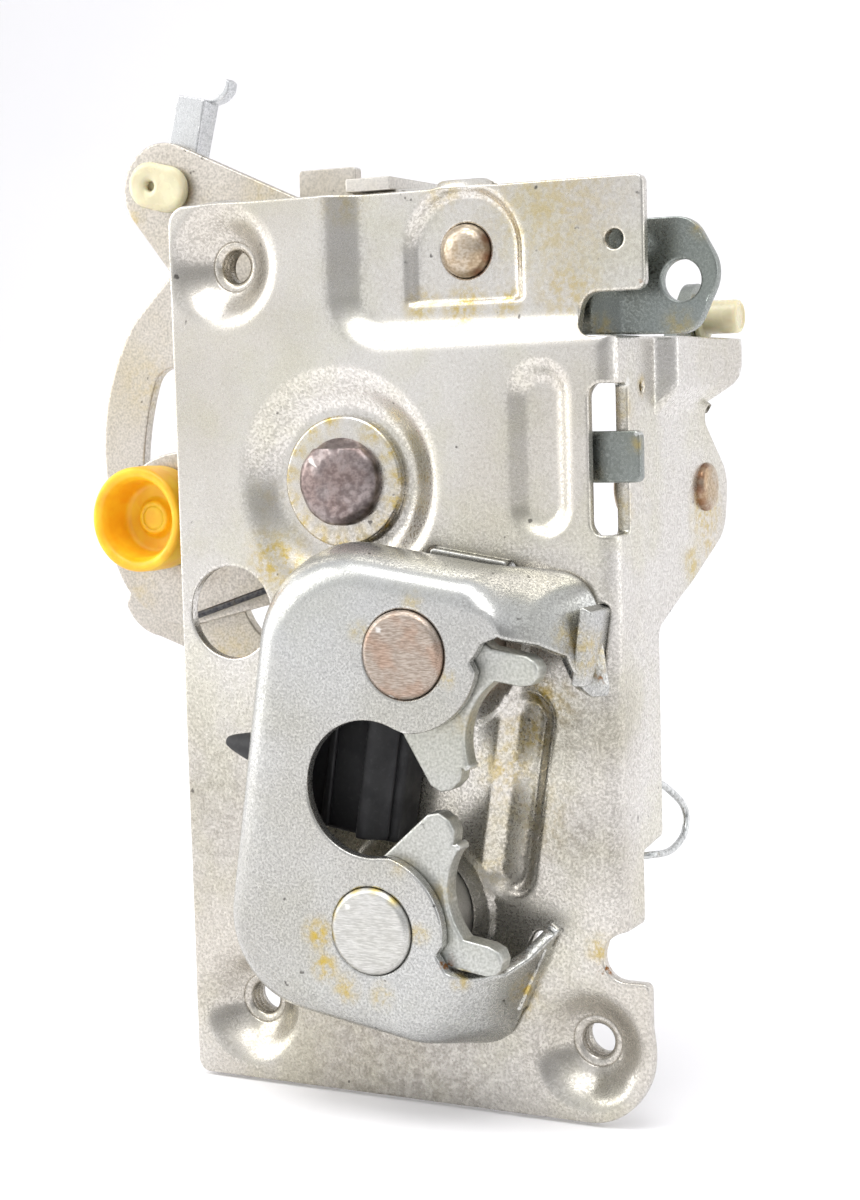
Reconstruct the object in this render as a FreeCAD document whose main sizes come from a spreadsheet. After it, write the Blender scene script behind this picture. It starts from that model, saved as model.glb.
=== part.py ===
import FreeCAD, Part
import math
import os
from Sketcher import Constraint

# Twin-claw door latch in pressed sheet steel.
# Every sub-part is drawn on the face plate's own datum: x from its left edge, z from its
# lower edge, y from its front face with +y behind it. Each sub-part's Placement then moves
# the datum so that the row's origin is the axis of the latched striker in the plane of the
# face plate's front face: X across the plate, Y into the door, Z up the plate.

Vector = FreeCAD.Vector

DIMENSIONS = {
    "SheetThickness": 2.0,
    "PlateWidth": 77.5,
    "PlateHeight": 137.0,
    "StrikerFromLeft": 40.4,
    "StrikerFromBottom": 50.5,
    "TappedHoleRadius": 2.5,
    "DimpleRadius": 9.2,
    "DimpleDepth": 4.0,
    "DimpleFloorRadius": 3.4,
    "CollarRadius": 4.4,
    "CollarLength": 4.0,
    "AccessHoleRadius": 7.2,
    "MainStudX": 28.8,
    "MainStudZ": 94.2,
    "MainStudRadius": 5.0,
    "StudHeadRadius": 6.7,
    "StudFlatHeight": 5.1,
    "StudWasherRadius": 10.0,
    "DishRadius": 15.0,
    "DishFloorRadius": 10.8,
    "DishDepth": 3.0,
    "StepDepth": 3.0,
    "PadDepth": 1.8,
    "TopPinX": 49.0,
    "TopPinZ": 127.8,
    "TopPinRadius": 4.0,
    "RibDepth": 1.5,
    "FlangeOuterX": 73.5,
    "FlangeDepth": 17.2,
    "BulgeHeight": 3.0,
    "MouthX": 43.7,
    "MouthZ": 50.0,
    "MouthTilt": 9.0,
    "PivotOffset": 20.5,
    "CoverRise": 15.0,
    "StrikerRadius": 10.0,
    "ClawFront": 12.8,
    "ClawThickness": 3.5,
    "JournalRadius": 6.45,
    "HubRadius": 9.3,
    "ShankRadius": 5.0,
    "RunningClearance": 0.06,
    "RatchetRadius": 13.0,
    "PawlFront": 7.9,
    "LeverThickness": 2.0,
    "TabLeverFront": 5.4,
    "HandleLeverFront": 13.7,
    "SlottedLeverFront": 16.0,
    "LockArmFront": 18.3,
    "BracketFront": 21.0,
    "RollerX": -12.0,
    "RollerZ": 88.2,
    "RollerRadius": 8.6,
    "RollerBoreRadius": 6.2,
    "RollerLength": 8.1,
    "RivetRadius": 1.7,
    "ReleaseLeverFront": 7.4,
    "ReleaseJoggle": 2.6,
    "RodHoleX": 80.4,
    "RodHoleZ": 122.2,
    "RodHoleRadius": 3.0,
    "SideRivetY": 36.7,
    "SideRivetZ": 91.5,
    "SideRivetRadius": 3.0,
    "SideRivetHeadRadius": 3.8,
    "RodPinRadius": 2.65,
    "SpringWire": 1.1,
}

doc = FreeCAD.newDocument("door_latch")
sheet = doc.addObject("Spreadsheet::Sheet", "Dims")
for row, (alias, value) in enumerate(DIMENSIONS.items(), start=1):
    sheet.set("A%d" % row, alias)
    sheet.set("B%d" % row, str(value))
    sheet.setAlias("B%d" % row, alias)
doc.recompute()

# sketch plane -> (origin plane's role, sense of its normal along the named axis)
PLANES = {
    "front": ("XZ_Plane", -1),
    "side": ("YZ_Plane", 1),
    "top": ("XY_Plane", 1),
}
nodes = []


def dim(alias):
    """Value of one driving dimension."""
    return float(sheet.get(alias))


def polar(centre, radius, degrees):
    """Point at an angle on a circle, counted from +x towards +z."""
    angle = math.radians(degrees)
    return (centre[0] + radius * math.cos(angle), centre[1] + radius * math.sin(angle))


def on_plate(local_x, local_z):
    """Point of the tilted mouth frame in the face plate's datum."""
    tilt = math.radians(dim("MouthTilt"))
    x = dim("MouthX") + local_x * math.cos(tilt) + local_z * math.sin(tilt)
    z = dim("MouthZ") - local_x * math.sin(tilt) + local_z * math.cos(tilt)
    return (x, z)


MAIN_STUD = (dim("MainStudX"), dim("MainStudZ"))
TOP_PIN = (dim("TopPinX"), dim("TopPinZ"))
UPPER_PIVOT = on_plate(0, dim("PivotOffset"))
LOWER_PIVOT = on_plate(0, -dim("PivotOffset"))
ROLLER = (dim("RollerX"), dim("RollerZ"))
SIDE_RIVET = (dim("SideRivetY"), dim("SideRivetZ"))


# ---------------------------------------------------------------- outlines

def arc_between(start, middle, end):
    """Sketch arc from start to end through middle."""
    return Part.Arc(Vector(*start, 0), Vector(*middle, 0), Vector(*end, 0))


def line_between(start, end):
    """Sketch line from start to end."""
    return Part.LineSegment(Vector(*start, 0), Vector(*end, 0))


def path(start, *steps):
    """Closed outline: a step of one point is a line, a step of two is an arc through the first."""
    edges = []
    here = start
    for step in steps + ((start,),):
        points = step if isinstance(step[0], tuple) else (step,)
        if math.dist(here, points[-1]) < 1e-6:
            continue
        if len(points) == 2:
            edges.append(arc_between(here, points[0], points[1]))
        else:
            edges.append(line_between(here, points[0]))
        here = points[-1]
    return edges


def rounded(*corners):
    """Closed polygon of (x, z, corner radius) with tangent arcs in its corners."""
    steps = []
    count = len(corners)
    for index, (x, z, radius) in enumerate(corners):
        if radius == 0:
            steps.append((x, z))
            continue
        corner = Vector(x, z, 0)
        before = Vector(*corners[index - 1][:2], 0) - corner
        after = Vector(*corners[(index + 1) % count][:2], 0) - corner
        before.normalize()
        after.normalize()
        half = before.getAngle(after) / 2
        reach = radius / math.tan(half)
        inward = before + after
        inward.normalize()
        middle = corner + inward * (radius / math.sin(half) - radius)
        first = corner + before * reach
        last = corner + after * reach
        steps.append((first.x, first.y))
        steps.append(((middle.x, middle.y), (last.x, last.y)))
    return path(steps[0], *steps[1:])


def slot_outline(start, end, radius):
    """Straight slot with round ends between two centres."""
    along = Vector(*end, 0) - Vector(*start, 0)
    along.normalize()
    side = Vector(-along.y, along.x, 0) * radius
    tip = along * radius
    return path(
        (start[0] + side.x, start[1] + side.y),
        ((start[0] - tip.x, start[1] - tip.y), (start[0] - side.x, start[1] - side.y)),
        (end[0] - side.x, end[1] - side.y),
        ((end[0] + tip.x, end[1] + tip.y), (end[0] + side.x, end[1] + side.y)),
    )


def arc_slot(centre, radius, half_width, first, last):
    """Curved slot with round ends, concentric with centre, between two angles."""
    inner = radius - half_width
    outer = radius + half_width
    middle = (first + last) / 2
    overrun = math.degrees(half_width / radius)
    return path(
        polar(centre, outer, first),
        (polar(centre, outer, middle), polar(centre, outer, last)),
        (polar(centre, radius, last + overrun), polar(centre, inner, last)),
        (polar(centre, inner, middle), polar(centre, inner, first)),
        (polar(centre, radius, first - overrun), polar(centre, outer, first)),
    )


def round_lever(ends):
    """Lever outline: tangent hull of circles (x, z, radius) given counter-clockwise."""
    edges = []
    count = len(ends)
    tangents = []
    for index in range(count):
        x0, z0, r0 = ends[index]
        x1, z1, r1 = ends[(index + 1) % count]
        heading = math.degrees(math.atan2(z1 - z0, x1 - x0))
        lean = math.degrees(math.acos((r0 - r1) / math.hypot(x1 - x0, z1 - z0)))
        normal = heading - lean
        tangents.append((polar((x0, z0), r0, normal), polar((x1, z1), r1, normal), normal))
    for index in range(count):
        start, end, normal = tangents[index]
        following = tangents[(index + 1) % count]
        sweep = (following[2] - normal) % 360
        x, z, radius = ends[(index + 1) % count]
        middle = polar((x, z), radius, normal + sweep / 2)
        edges.append(line_between(start, end))
        edges.append(arc_between(end, middle, following[0]))
    return edges


# ---------------------------------------------------------------- features

def new_body(label):
    """Empty body in the face plate's datum, moved so that the striker axis is the origin."""
    body = doc.addObject("PartDesign::Body", label)
    body.Label = label
    body.setExpression("Placement.Base.x", "-Dims.StrikerFromLeft")
    body.setExpression("Placement.Base.z", "-Dims.StrikerFromBottom")
    nodes.append(body)
    return body


def tilt_to_mouth(body):
    """Move a body drawn in the mouth frame to the mouth's centre, leaning by its tilt."""
    body.setExpression("Placement.Base.x", "Dims.MouthX - Dims.StrikerFromLeft")
    body.setExpression("Placement.Base.z", "Dims.MouthZ - Dims.StrikerFromBottom")
    body.setExpression("Placement.Rotation.Axis.x", "0")
    body.setExpression("Placement.Rotation.Axis.y", "1")
    body.setExpression("Placement.Rotation.Axis.z", "0")
    body.setExpression("Placement.Rotation.Angle", "Dims.MouthTilt")


def new_sketch(body, plane, level):
    """Sketch on an origin plane of the body, moved to a level given as an expression."""
    role, sense = PLANES[plane]
    origin_plane = next(item for item in body.Origin.OriginFeatures if item.Role == role)
    sketch = body.newObject("Sketcher::SketchObject", body.Name + "_sketch")
    sketch.AttachmentSupport = [(origin_plane, "")]
    sketch.MapMode = "FlatFace"
    sketch.setExpression("AttachmentOffset.Base.z", "%d * (%s)" % (sense, level))
    return sketch


def draw(sketch, outlines):
    """Add closed outlines, and circles given as (x, z, radius expression)."""
    for outline in outlines:
        if isinstance(outline, list):
            sketch.addGeometry(outline)
            continue
        x, z, radius = outline
        circle = Part.Circle(Vector(x, z, 0), Vector(0, 0, 1), 1.0)
        index = sketch.addGeometry(circle)
        sketch.addConstraint(Constraint("DistanceX", -1, 1, index, 3, x))
        sketch.addConstraint(Constraint("DistanceY", -1, 1, index, 3, z))
        number = sketch.addConstraint(Constraint("Radius", index, 1.0))
        sketch.setExpression("Constraints[%d]" % number, radius)


def pad(body, plane, level, length, *outlines, taper=0.0):
    """Grow material from a level along the plane's axis."""
    sketch = new_sketch(body, plane, level)
    draw(sketch, outlines)
    feature = body.newObject("PartDesign::Pad", body.Name + "_pad")
    feature.Profile = sketch
    feature.Reversed = PLANES[plane][1] < 0
    feature.setExpression("Length", length)
    feature.TaperAngle = taper
    return feature


def pocket(body, plane, level, length, *outlines, taper=0.0):
    """Cut material from a level along the plane's axis."""
    sketch = new_sketch(body, plane, level)
    draw(sketch, outlines)
    feature = body.newObject("PartDesign::Pocket", body.Name + "_pocket")
    feature.Profile = sketch
    feature.Reversed = PLANES[plane][1] > 0
    feature.setExpression("Length", length)
    feature.TaperAngle = taper
    return feature


def loft(body, kind, first, second):
    """Add or cut a loft between two (level, outline) sections parallel to the front."""
    sketches = []
    for level, outline in (first, second):
        sketch = new_sketch(body, "front", level)
        draw(sketch, [outline])
        sketches.append(sketch)
    feature = body.newObject("PartDesign::" + kind, body.Name + "_loft")
    feature.Profile = sketches[0]
    feature.Sections = [sketches[1]]
    feature.Ruled = True
    return feature


def round_edges(body, kind, size, chosen):
    """Fillet or chamfer the tip's edges for which chosen(edge) is true."""
    doc.recompute()
    tip = body.Tip
    names = [
        "Edge%d" % number
        for number, edge in enumerate(tip.Shape.Edges, start=1)
        if chosen(edge)
    ]
    feature = body.newObject("PartDesign::" + kind, body.Name + "_" + kind.lower())
    feature.Base = (tip, names)
    if kind == "Fillet":
        feature.Radius = size
    else:
        feature.Size = size
    return feature


def at_level(level):
    """Edge filter: edges that lie wholly at one y."""
    return lambda edge: (
        abs(edge.BoundBox.YMin - level) < 1e-3 and abs(edge.BoundBox.YMax - level) < 1e-3
    )


def place_shape(label, shape):
    """Sub-part whose shape is a swept wire, placed like the bodies."""
    feature = doc.addObject("Part::Feature", label)
    feature.Label = label
    feature.Shape = shape
    datum = Vector(-dim("StrikerFromLeft"), 0, -dim("StrikerFromBottom"))
    feature.Placement = FreeCAD.Placement(datum, FreeCAD.Rotation()).multiply(shape.Placement)
    nodes.append(feature)
    return feature


def bent_wire(points, bend, radius):
    """Round wire through 3-D points with a bend of one radius at each inner point."""
    edges = []
    here = Vector(*points[0])
    for before, corner, after in zip(points, points[1:], points[2:]):
        at = Vector(*corner)
        back = (Vector(*before) - at).normalize()
        ahead = (Vector(*after) - at).normalize()
        half = back.getAngle(ahead) / 2
        reach = bend / math.tan(half)
        inward = (back + ahead).normalize()
        middle = at + inward * (bend / math.sin(half) - bend)
        edges.append(Part.LineSegment(here, at + back * reach).toShape())
        edges.append(Part.Arc(at + back * reach, middle, at + ahead * reach).toShape())
        here = at + ahead * reach
    edges.append(Part.LineSegment(here, Vector(*points[-1])).toShape())
    return sweep_round(Part.Wire(edges), Vector(*points[0]), edges[0], radius)


def sweep_round(spine, start, first_edge, radius):
    """Solid of round section along a wire."""
    direction = first_edge.tangentAt(first_edge.FirstParameter)
    section = Part.Wire(Part.Circle(start, direction, radius).toShape())
    return spine.makePipeShell([section], True, True)


def coil_along(axis, centre, first, last, radius, wire_radius):
    """Close-wound torsion coil around a line parallel to X or Y, between two levels."""
    length = last - first
    pitch = 2 * wire_radius + 0.02
    helix = Part.makeHelix(pitch, length - 2 * wire_radius, radius)
    section = Part.Wire(
        Part.Circle(Vector(radius, 0, 0), Vector(0, 1, 0), wire_radius).toShape()
    )
    coil = helix.makePipeShell([section], True, True)
    if axis == "y":
        coil.rotate(Vector(), Vector(1, 0, 0), -90)
        coil.translate(Vector(centre[0], first + wire_radius, centre[1]))
    else:
        coil.rotate(Vector(), Vector(0, 1, 0), 90)
        coil.translate(Vector(first + wire_radius, centre[0], centre[1]))
    return coil


# ---------------------------------------------------------------- fixed pieces

def make_face_plate():
    """Pressed face plate with screw dimples, dish, raised step, ribs and the side flange."""
    body = new_body("face_plate")
    width = dim("PlateWidth")
    height = dim("PlateHeight")
    flange = dim("FlangeOuterX")
    bend_start = flange - 4.5
    plate = rounded(
        (0, 0, 2), (width, 0, 10), (width, 21.6, 1), (70.4, 21.6, 3.2), (70.4, 28.4, 3.2),
        (bend_start, 28.4, 0), (bend_start, 115, 0), (67.6, 115, 0.8), (67.6, 120.8, 2.5),
        (width, 120.8, 1.5), (width, height, 1.2), (0, height, 3),
    )
    pad(body, "front", "0", "Dims.SheetThickness", plate)
    bend = rounded(
        (bend_start, 0, 0), (flange, 0, 3.6), (flange, 5.6, 0),
        (flange - 2, 5.6, 0), (flange - 2, 2, 1.6), (bend_start, 2, 0),
    )
    pad(body, "top", "28.4", "86.2", bend)
    side_wall = rounded(
        (5.5, 28.4, 0), (9.4, 28.4, 1), (9.4, 39.0, 0.6), (17.2, 40.0, 1),
        (17.2, 71.2, 2), (30.5, 76.6, 4), (44.6, 84.0, 6), (46.0, 93.0, 6),
        (36.3, 101.5, 2), (36.3, 106.0, 1), (17.2, 106.0, 0), (17.2, 114.6, 0),
        (5.5, 114.6, 0),
    )
    pad(body, "side", "Dims.FlangeOuterX - Dims.SheetThickness", "Dims.SheetThickness", side_wall)
    bulge = rounded(
        (16.2, 102.6, 1), (36.5, 102.6, 1), (48.4, 108.4, 3), (48.4, 114.6, 0.6), (16.2, 114.6, 0),
    )
    pad(body, "side", "Dims.FlangeOuterX - 1", "Dims.BulgeHeight + 1", bulge)
    hollow = rounded(
        (18.6, 105.4, 1), (36.3, 105.4, 0), (36.3, 101.0, 0), (52.0, 101.0, 0),
        (52.0, 118.0, 0), (18.6, 118.0, 0),
    )
    inner_face = "Dims.FlangeOuterX - Dims.SheetThickness - 0.5"
    pocket(body, "side", inner_face, "Dims.BulgeHeight + 0.5", hollow)

    step = rounded(
        (28.6, 114.6, 7), (67.6, 114.6, 0), (67.6, 120.8, 2.5), (width, 120.8, 1.5),
        (width, height, 1.2), (28.6, height, 0),
    )
    pad(body, "front", "1", "Dims.StepDepth + Dims.SheetThickness - 1", step)
    step_front = rounded(
        (27.7, 113.7, 8), (width + 9, 113.7, 0), (width + 9, height + 9, 0), (27.7, height + 9, 0),
    )
    pocket(body, "front", "0", "Dims.StepDepth", step_front, taper=-56.0)

    step_floor = "Dims.StepDepth"
    pad_back = path(
        (39.4, 119.0), (59.0, 119.0), (59.0, 127.8), ((49.2, 137.0), (39.4, 127.8)),
    )
    pad_rise = "Dims.PadDepth + Dims.SheetThickness - 0.5"
    pad(body, "front", step_floor + " + 0.5", pad_rise, pad_back)
    pad_front = path(
        (40.9, 120.3), (57.5, 120.3), (57.5, 127.8), ((49.2, 136.1), (40.9, 127.8)),
    )
    pocket(body, "front", step_floor, "Dims.PadDepth", pad_front)

    dish = (*MAIN_STUD, "Dims.DishRadius + 0.8")
    dish_taper = math.degrees(math.atan2(dim("DishRadius") - dim("DishFloorRadius"), dim("DishDepth")))
    pad(body, "front", "1.5", "Dims.DishDepth + Dims.SheetThickness - 1.5", dish, taper=-45.0)
    dish_front = (*MAIN_STUD, "Dims.DishRadius")
    pocket(body, "front", "0", "Dims.DishDepth", dish_front, taper=-dish_taper)

    screws = ((9.4, 127.5), (10.2, 11.8), (67.6, 11.2))
    cone_back = [(*point, "Dims.DimpleRadius") for point in screws]
    pad(body, "front", "1.5", "Dims.DimpleDepth + 0.5", *cone_back, taper=-45.0)
    collars = [(*point, "Dims.CollarRadius") for point in screws]
    pad(body, "front", "Dims.DimpleDepth", "Dims.CollarLength", *collars)
    cone_lean = math.degrees(
        math.atan2(dim("DimpleRadius") - 0.3 - dim("DimpleFloorRadius"), dim("DimpleDepth"))
    )
    cone_front = [(*point, "Dims.DimpleRadius - 0.3") for point in screws]
    pocket(body, "front", "0", "Dims.DimpleDepth", *cone_front, taper=-cone_lean)
    tapped = [(*point, "Dims.TappedHoleRadius") for point in screws]
    pocket(body, "front", "-1", "12", *tapped)

    upper_rib = ((62.1, 90.6), (62.1, 106.4))
    mouth_rib = (on_plate(14.0, 11.8), on_plate(14.0, -11.2))
    for rib in (upper_rib, mouth_rib):
        pad(body, "front", "1", "Dims.RibDepth + Dims.SheetThickness - 1.2", slot_outline(*rib, 4.4))
        pocket(body, "front", "0", "Dims.RibDepth", slot_outline(*rib, 4.2), taper=-50.0)

    through = [
        (9.0, 74.1, "Dims.AccessHoleRadius"),
        (73.0, 128.1, "1.4"),
        (*MAIN_STUD, "Dims.MainStudRadius + 0.02"),
        (*TOP_PIN, "Dims.TopPinRadius + 0.02"),
        (*UPPER_PIVOT, "Dims.HubRadius + Dims.RunningClearance"),
        (*LOWER_PIVOT, "Dims.HubRadius + Dims.RunningClearance"),
    ]
    pocket(body, "front", "-1", "12", *through)
    window = rounded((69.7, 86.2, 2), (76, 86.2, 0), (76, 107.8, 0), (69.7, 107.8, 2))
    pocket(body, "front", "-1", "7", window)
    cover_slots = [
        slot_outline(on_plate(-4.0, 33.0), on_plate(8.0, 33.0), 1.15),
        slot_outline(on_plate(23.4, 20.6), on_plate(23.4, 29.2), 1.3),
        slot_outline(on_plate(20.5, -20.4), on_plate(18.0, -30.2), 1.4),
    ]
    pocket(body, "front", "-1", "5.5", *cover_slots)
    pocket(body, "side", inner_face, "4", (*SIDE_RIVET, "Dims.SideRivetRadius + 0.02"), (11.6, 107.2, "0.7"))
    return body


def make_claw_cover():
    """Drawn cover over the claws, open to the right, with tabs through the face plate."""
    body = new_body("claw_cover")
    tilt_to_mouth(body)
    base = rounded(
        (-23.5, -38.0, 14), (17.5, -38.0, 5), (24.0, -17.0, 3), (26.6, 19.0, 3),
        (21.5, 34.6, 6), (-23.5, 34.6, 14),
    )
    face = rounded(
        (-20.2, -33.6, 12), (13.5, -33.6, 5), (17.0, -17.0, 3), (19.0, 19.0, 3),
        (15.5, 32.6, 5), (-20.2, 32.6, 12),
    )
    inner_base = rounded(
        (-21.5, -36.0, 12), (16.2, -36.0, 4), (22.3, -17.0, 3), (24.6, 19.0, 3),
        (20.0, 32.6, 5), (-21.5, 32.6, 12),
    )
    inner_face = rounded(
        (-18.4, -31.8, 10), (12.6, -31.8, 4), (15.9, -17.0, 3), (17.4, 19.0, 3),
        (14.2, 30.8, 4), (-18.4, 30.8, 10),
    )
    loft(body, "AdditiveLoft", ("0", base), ("-Dims.CoverRise", face))
    front_inside = "Dims.SheetThickness - Dims.CoverRise"
    loft(body, "SubtractiveLoft", ("0", inner_base), (front_inside, inner_face))
    round_edges(body, "Fillet", 2.6, at_level(-dim("CoverRise")))

    striker_centre = (-3.3, 0)
    radius = dim("StrikerRadius")
    lobe = 11.4
    upper = (0, dim("PivotOffset"))
    lower = (0, -dim("PivotOffset"))
    mouth = path(
        (32, 17.6), (24.5, 17.6), (21.4, 24.0), (14.0, 25.4), (10.6, 22.0), polar(upper, lobe, -28),
        (polar(upper, lobe, -58), polar(upper, lobe, -83)),
        polar(striker_centre, radius, 72),
        (polar(striker_centre, radius, 180), polar(striker_centre, radius, -72)),
        polar(lower, lobe, 83),
        (polar(lower, lobe, 58), polar(lower, lobe, 28)),
        (10.4, -20.6), (13.4, -24.1), (18.6, -24.2), (22.6, -19.6), (24.5, -17.0), (32, -17.0),
    )
    pocket(body, "front", "-Dims.CoverRise - 1", "Dims.CoverRise + 2", mouth)
    journal = "Dims.JournalRadius + Dims.RunningClearance"
    pocket(body, "front", "-Dims.CoverRise - 1", "6", (*upper, journal), (*lower, journal))
    nub_window = rounded((-26, -2.6, 0), (-16, -2.6, 0), (-16, 2.6, 0), (-26, 2.6, 0))
    pocket(body, "front", "-8.4", "3.6", nub_window)
    tabs = [
        rounded((-4.2, 32.1, 0), (8.2, 32.1, 0), (8.2, 33.9, 0), (-4.2, 33.9, 0)),
        rounded((22.4, 21.0, 0), (24.4, 21.0, 0), (24.4, 28.8, 0), (22.4, 28.8, 0)),
    ]
    pad(body, "front", "-1.5", "5", *tabs)
    lower_tab = rounded((17.2, -29.2, 0), (19.0, -29.6, 0), (21.2, -21.4, 0), (19.6, -21.0, 0))
    pad(body, "front", "-1.5", "5", lower_tab)
    return body


def make_rubber_buffer():
    """Moulded rubber buffer behind the striker circle, its nub through the cover's wall."""
    body = new_body("rubber_buffer")
    tilt_to_mouth(body)
    block = rounded((-19.0, -9.6, 2), (-1.6, -9.6, 1), (-1.6, 9.6, 1), (-19.0, 9.6, 2))
    pad(body, "front", "-6.4", "6.3", block)
    ridge = rounded((-8.4, -9.2, 1), (-3.6, -9.2, 1), (-3.6, 9.2, 1), (-8.4, 9.2, 1))
    pad(body, "front", "-9.1", "4", ridge)
    nub = path((-16, 2.3), (-16, -2.3), (-26.5, -2.3), (-32.4, -0.4), (-32.4, 0.6), (-26.5, 2.3))
    pad(body, "front", "-8.2", "3.2", nub)
    return body


def make_main_stud():
    """Main pivot stud: a peened head with a flat, a shank through every lever on it."""
    body = new_body("main_pivot_stud")
    flat = math.degrees(math.acos(dim("StudFlatHeight") / dim("StudHeadRadius")))
    head = path(
        polar(MAIN_STUD, dim("StudHeadRadius"), 90 + flat),
        (polar(MAIN_STUD, dim("StudHeadRadius"), 270), polar(MAIN_STUD, dim("StudHeadRadius"), 90 - flat)),
    )
    pad(body, "front", "Dims.DishDepth - 4.2", "2.6", head)
    shank = "Dims.BracketFront + 4.4 - Dims.DishDepth"
    pad(body, "front", "Dims.DishDepth - 1.6", shank, (*MAIN_STUD, "Dims.MainStudRadius"))
    groove_level = "Dims.BracketFront + Dims.SheetThickness + 0.1"
    ring = (*MAIN_STUD, "Dims.MainStudRadius + 1")
    core = (*MAIN_STUD, "Dims.MainStudRadius - 1")
    pocket(body, "front", groove_level, "0.8", ring, core)
    return body


def make_ring(label, centre, level, length, outer, inner):
    """Flat washer, spacer or spool around a pin."""
    body = new_body(label)
    pad(body, "front", level, length, (*centre, outer), (*centre, inner))
    return body


def make_top_pin():
    """Domed pin of the inner release lever."""
    body = new_body("top_pivot_pin")
    start = "Dims.StepDepth + Dims.PadDepth - 2.2"
    pad(body, "front", start, "Dims.BracketFront + 3.4 - (" + start + ")", (*TOP_PIN, "Dims.TopPinRadius"))
    dome = dim("StepDepth") + dim("PadDepth") - 2.2
    round_edges(body, "Fillet", 1.6, at_level(dome))
    ring = (*TOP_PIN, "Dims.TopPinRadius + 1")
    core = (*TOP_PIN, "Dims.TopPinRadius - 0.8")
    pocket(body, "front", "Dims.BracketFront + Dims.SheetThickness + 0.1", "0.8", ring, core)
    return body


def make_retaining_ring(label, centre, radius, core):
    """E-shaped retaining ring in a pin's groove behind the rear bracket."""
    body = new_body(label)
    level = "Dims.BracketFront + Dims.SheetThickness + 0.15"
    pad(body, "front", level, "0.7", (*centre, radius), (*centre, core))
    mouth = rounded(
        (centre[0] - 2, centre[1], 0), (centre[0] + 2, centre[1], 0),
        (centre[0] + 2, centre[1] + 20, 0), (centre[0] - 2, centre[1] + 20, 0),
    )
    pocket(body, "front", level + " - 1", "3", mouth)
    return body


def make_rear_bracket():
    """Sheet bracket that holds the rear ends of the two pivots, bent to meet the plate."""
    body = new_body("rear_bracket")
    outline = round_lever([(20.0, 96.0, 9), (34.0, 90.0, 9), (50.0, 127.8, 10), (19.0, 130.0, 9.6)])
    pad(body, "front", "Dims.BracketFront", "Dims.SheetThickness", outline)
    tab = rounded((11.6, 128, 0), (22.0, 128, 0), (22.0, 143.4, 0.6), (11.6, 143.4, 0.6))
    pad(body, "front", "Dims.BracketFront", "Dims.SheetThickness", tab)
    arm = rounded((29.5, 128, 0), (38.0, 128, 0), (38.0, 139.4, 0), (29.5, 139.4, 0))
    pad(body, "front", "Dims.BracketFront", "Dims.SheetThickness", arm)
    bridge = rounded((30.0, 137.4, 0), (37.5, 137.4, 0), (37.5, 139.4, 0), (30.0, 139.4, 0))
    reach = "Dims.StepDepth + Dims.SheetThickness"
    pad(body, "front", reach + " - 2", "Dims.BracketFront + 2 - (" + reach + ")", bridge)
    foot = rounded((30.0, 133.6, 0), (37.5, 133.6, 0), (37.5, 139.4, 0), (30.0, 139.4, 0))
    pad(body, "front", reach, "Dims.SheetThickness", foot)
    pocket(body, "front", "0", reach, rounded((29, 130, 0), (39, 130, 0), (39, 137.02, 0), (29, 137.02, 0)))
    holes = [(*MAIN_STUD, "Dims.MainStudRadius + 0.05"), (*TOP_PIN, "Dims.TopPinRadius + 0.05")]
    pocket(body, "front", "Dims.BracketFront - 1", "5", *holes)
    return body


def make_side_rivet():
    """Rivet of the side lever through the flange's ear."""
    body = new_body("side_rivet")
    pad(body, "side", "Dims.FlangeOuterX", "1.9", (*SIDE_RIVET, "Dims.SideRivetHeadRadius"))
    pad(body, "side", "Dims.FlangeOuterX - 12.4", "12.6", (*SIDE_RIVET, "Dims.SideRivetRadius"))
    pad(body, "side", "Dims.FlangeOuterX - 13.2", "1", (*SIDE_RIVET, "Dims.SideRivetRadius + 1.6"))
    return body


def make_side_spring():
    """Side lever's spring: a coil on the rivet and a leg hooked round the flange's step."""
    x = dim("FlangeOuterX") - dim("SheetThickness") - 1.2
    wire = dim("SpringWire") / 2
    coil = coil_along("x", SIDE_RIVET, 61.4, 66.0, 4.3, wire)
    leg_z = SIDE_RIVET[1] - 4.3
    route = [
        (65.3, SIDE_RIVET[0] + 1.0, leg_z), (65.3, 27.0, leg_z), (x - 1, 16.0, 58.0),
        (x, 17.2, 48.6), (x + 2.2, 24.4, 45.4), (x + 3.6, 26.4, 39.6),
        (x + 3.8, 18.0, 37.2), (x + 2.9, 11.6, 37.9), (x - 0.4, 11.4, 37.6),
    ]
    leg = bent_wire(route, 1.6, wire)
    return place_shape("side_lever_spring", coil.fuse(leg))


# ---------------------------------------------------------------- claws

def claw_outline(sense):
    """Two-fingered claw about its own pivot; sense -1 is the upper claw, +1 the lower."""
    pivot = (0, -sense * dim("PivotOffset"))

    def at(x, z):
        return (pivot[0] + x, pivot[1] + sense * z)

    return path(
        at(-1.5, 9.7),
        at(4.9, 17.4), (at(6.9, 18.9), at(9.3, 17.7)),
        (at(10.3, 16.5), at(10.2, 15.0)),
        (at(9.0, 8.6), at(15.2, 2.1)),
        at(17.6, 1.6), (at(20.2, 0.4), at(19.6, -2.1)),
        at(17.9, -2.9), at(12.4, -3.1), at(8.2, -5.4),
        (at(-6.9, -6.9), at(-1.5, 9.7)),
    )


def make_claw(label, sense):
    """Claw plate pressed on its spindle."""
    body = new_body(label)
    tilt_to_mouth(body)
    pad(body, "front", "-Dims.ClawFront", "Dims.ClawThickness", claw_outline(sense))
    bore = (0, -sense * dim("PivotOffset"), "Dims.JournalRadius")
    pocket(body, "front", "-Dims.ClawFront - 1", "8", bore)
    return body


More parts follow.
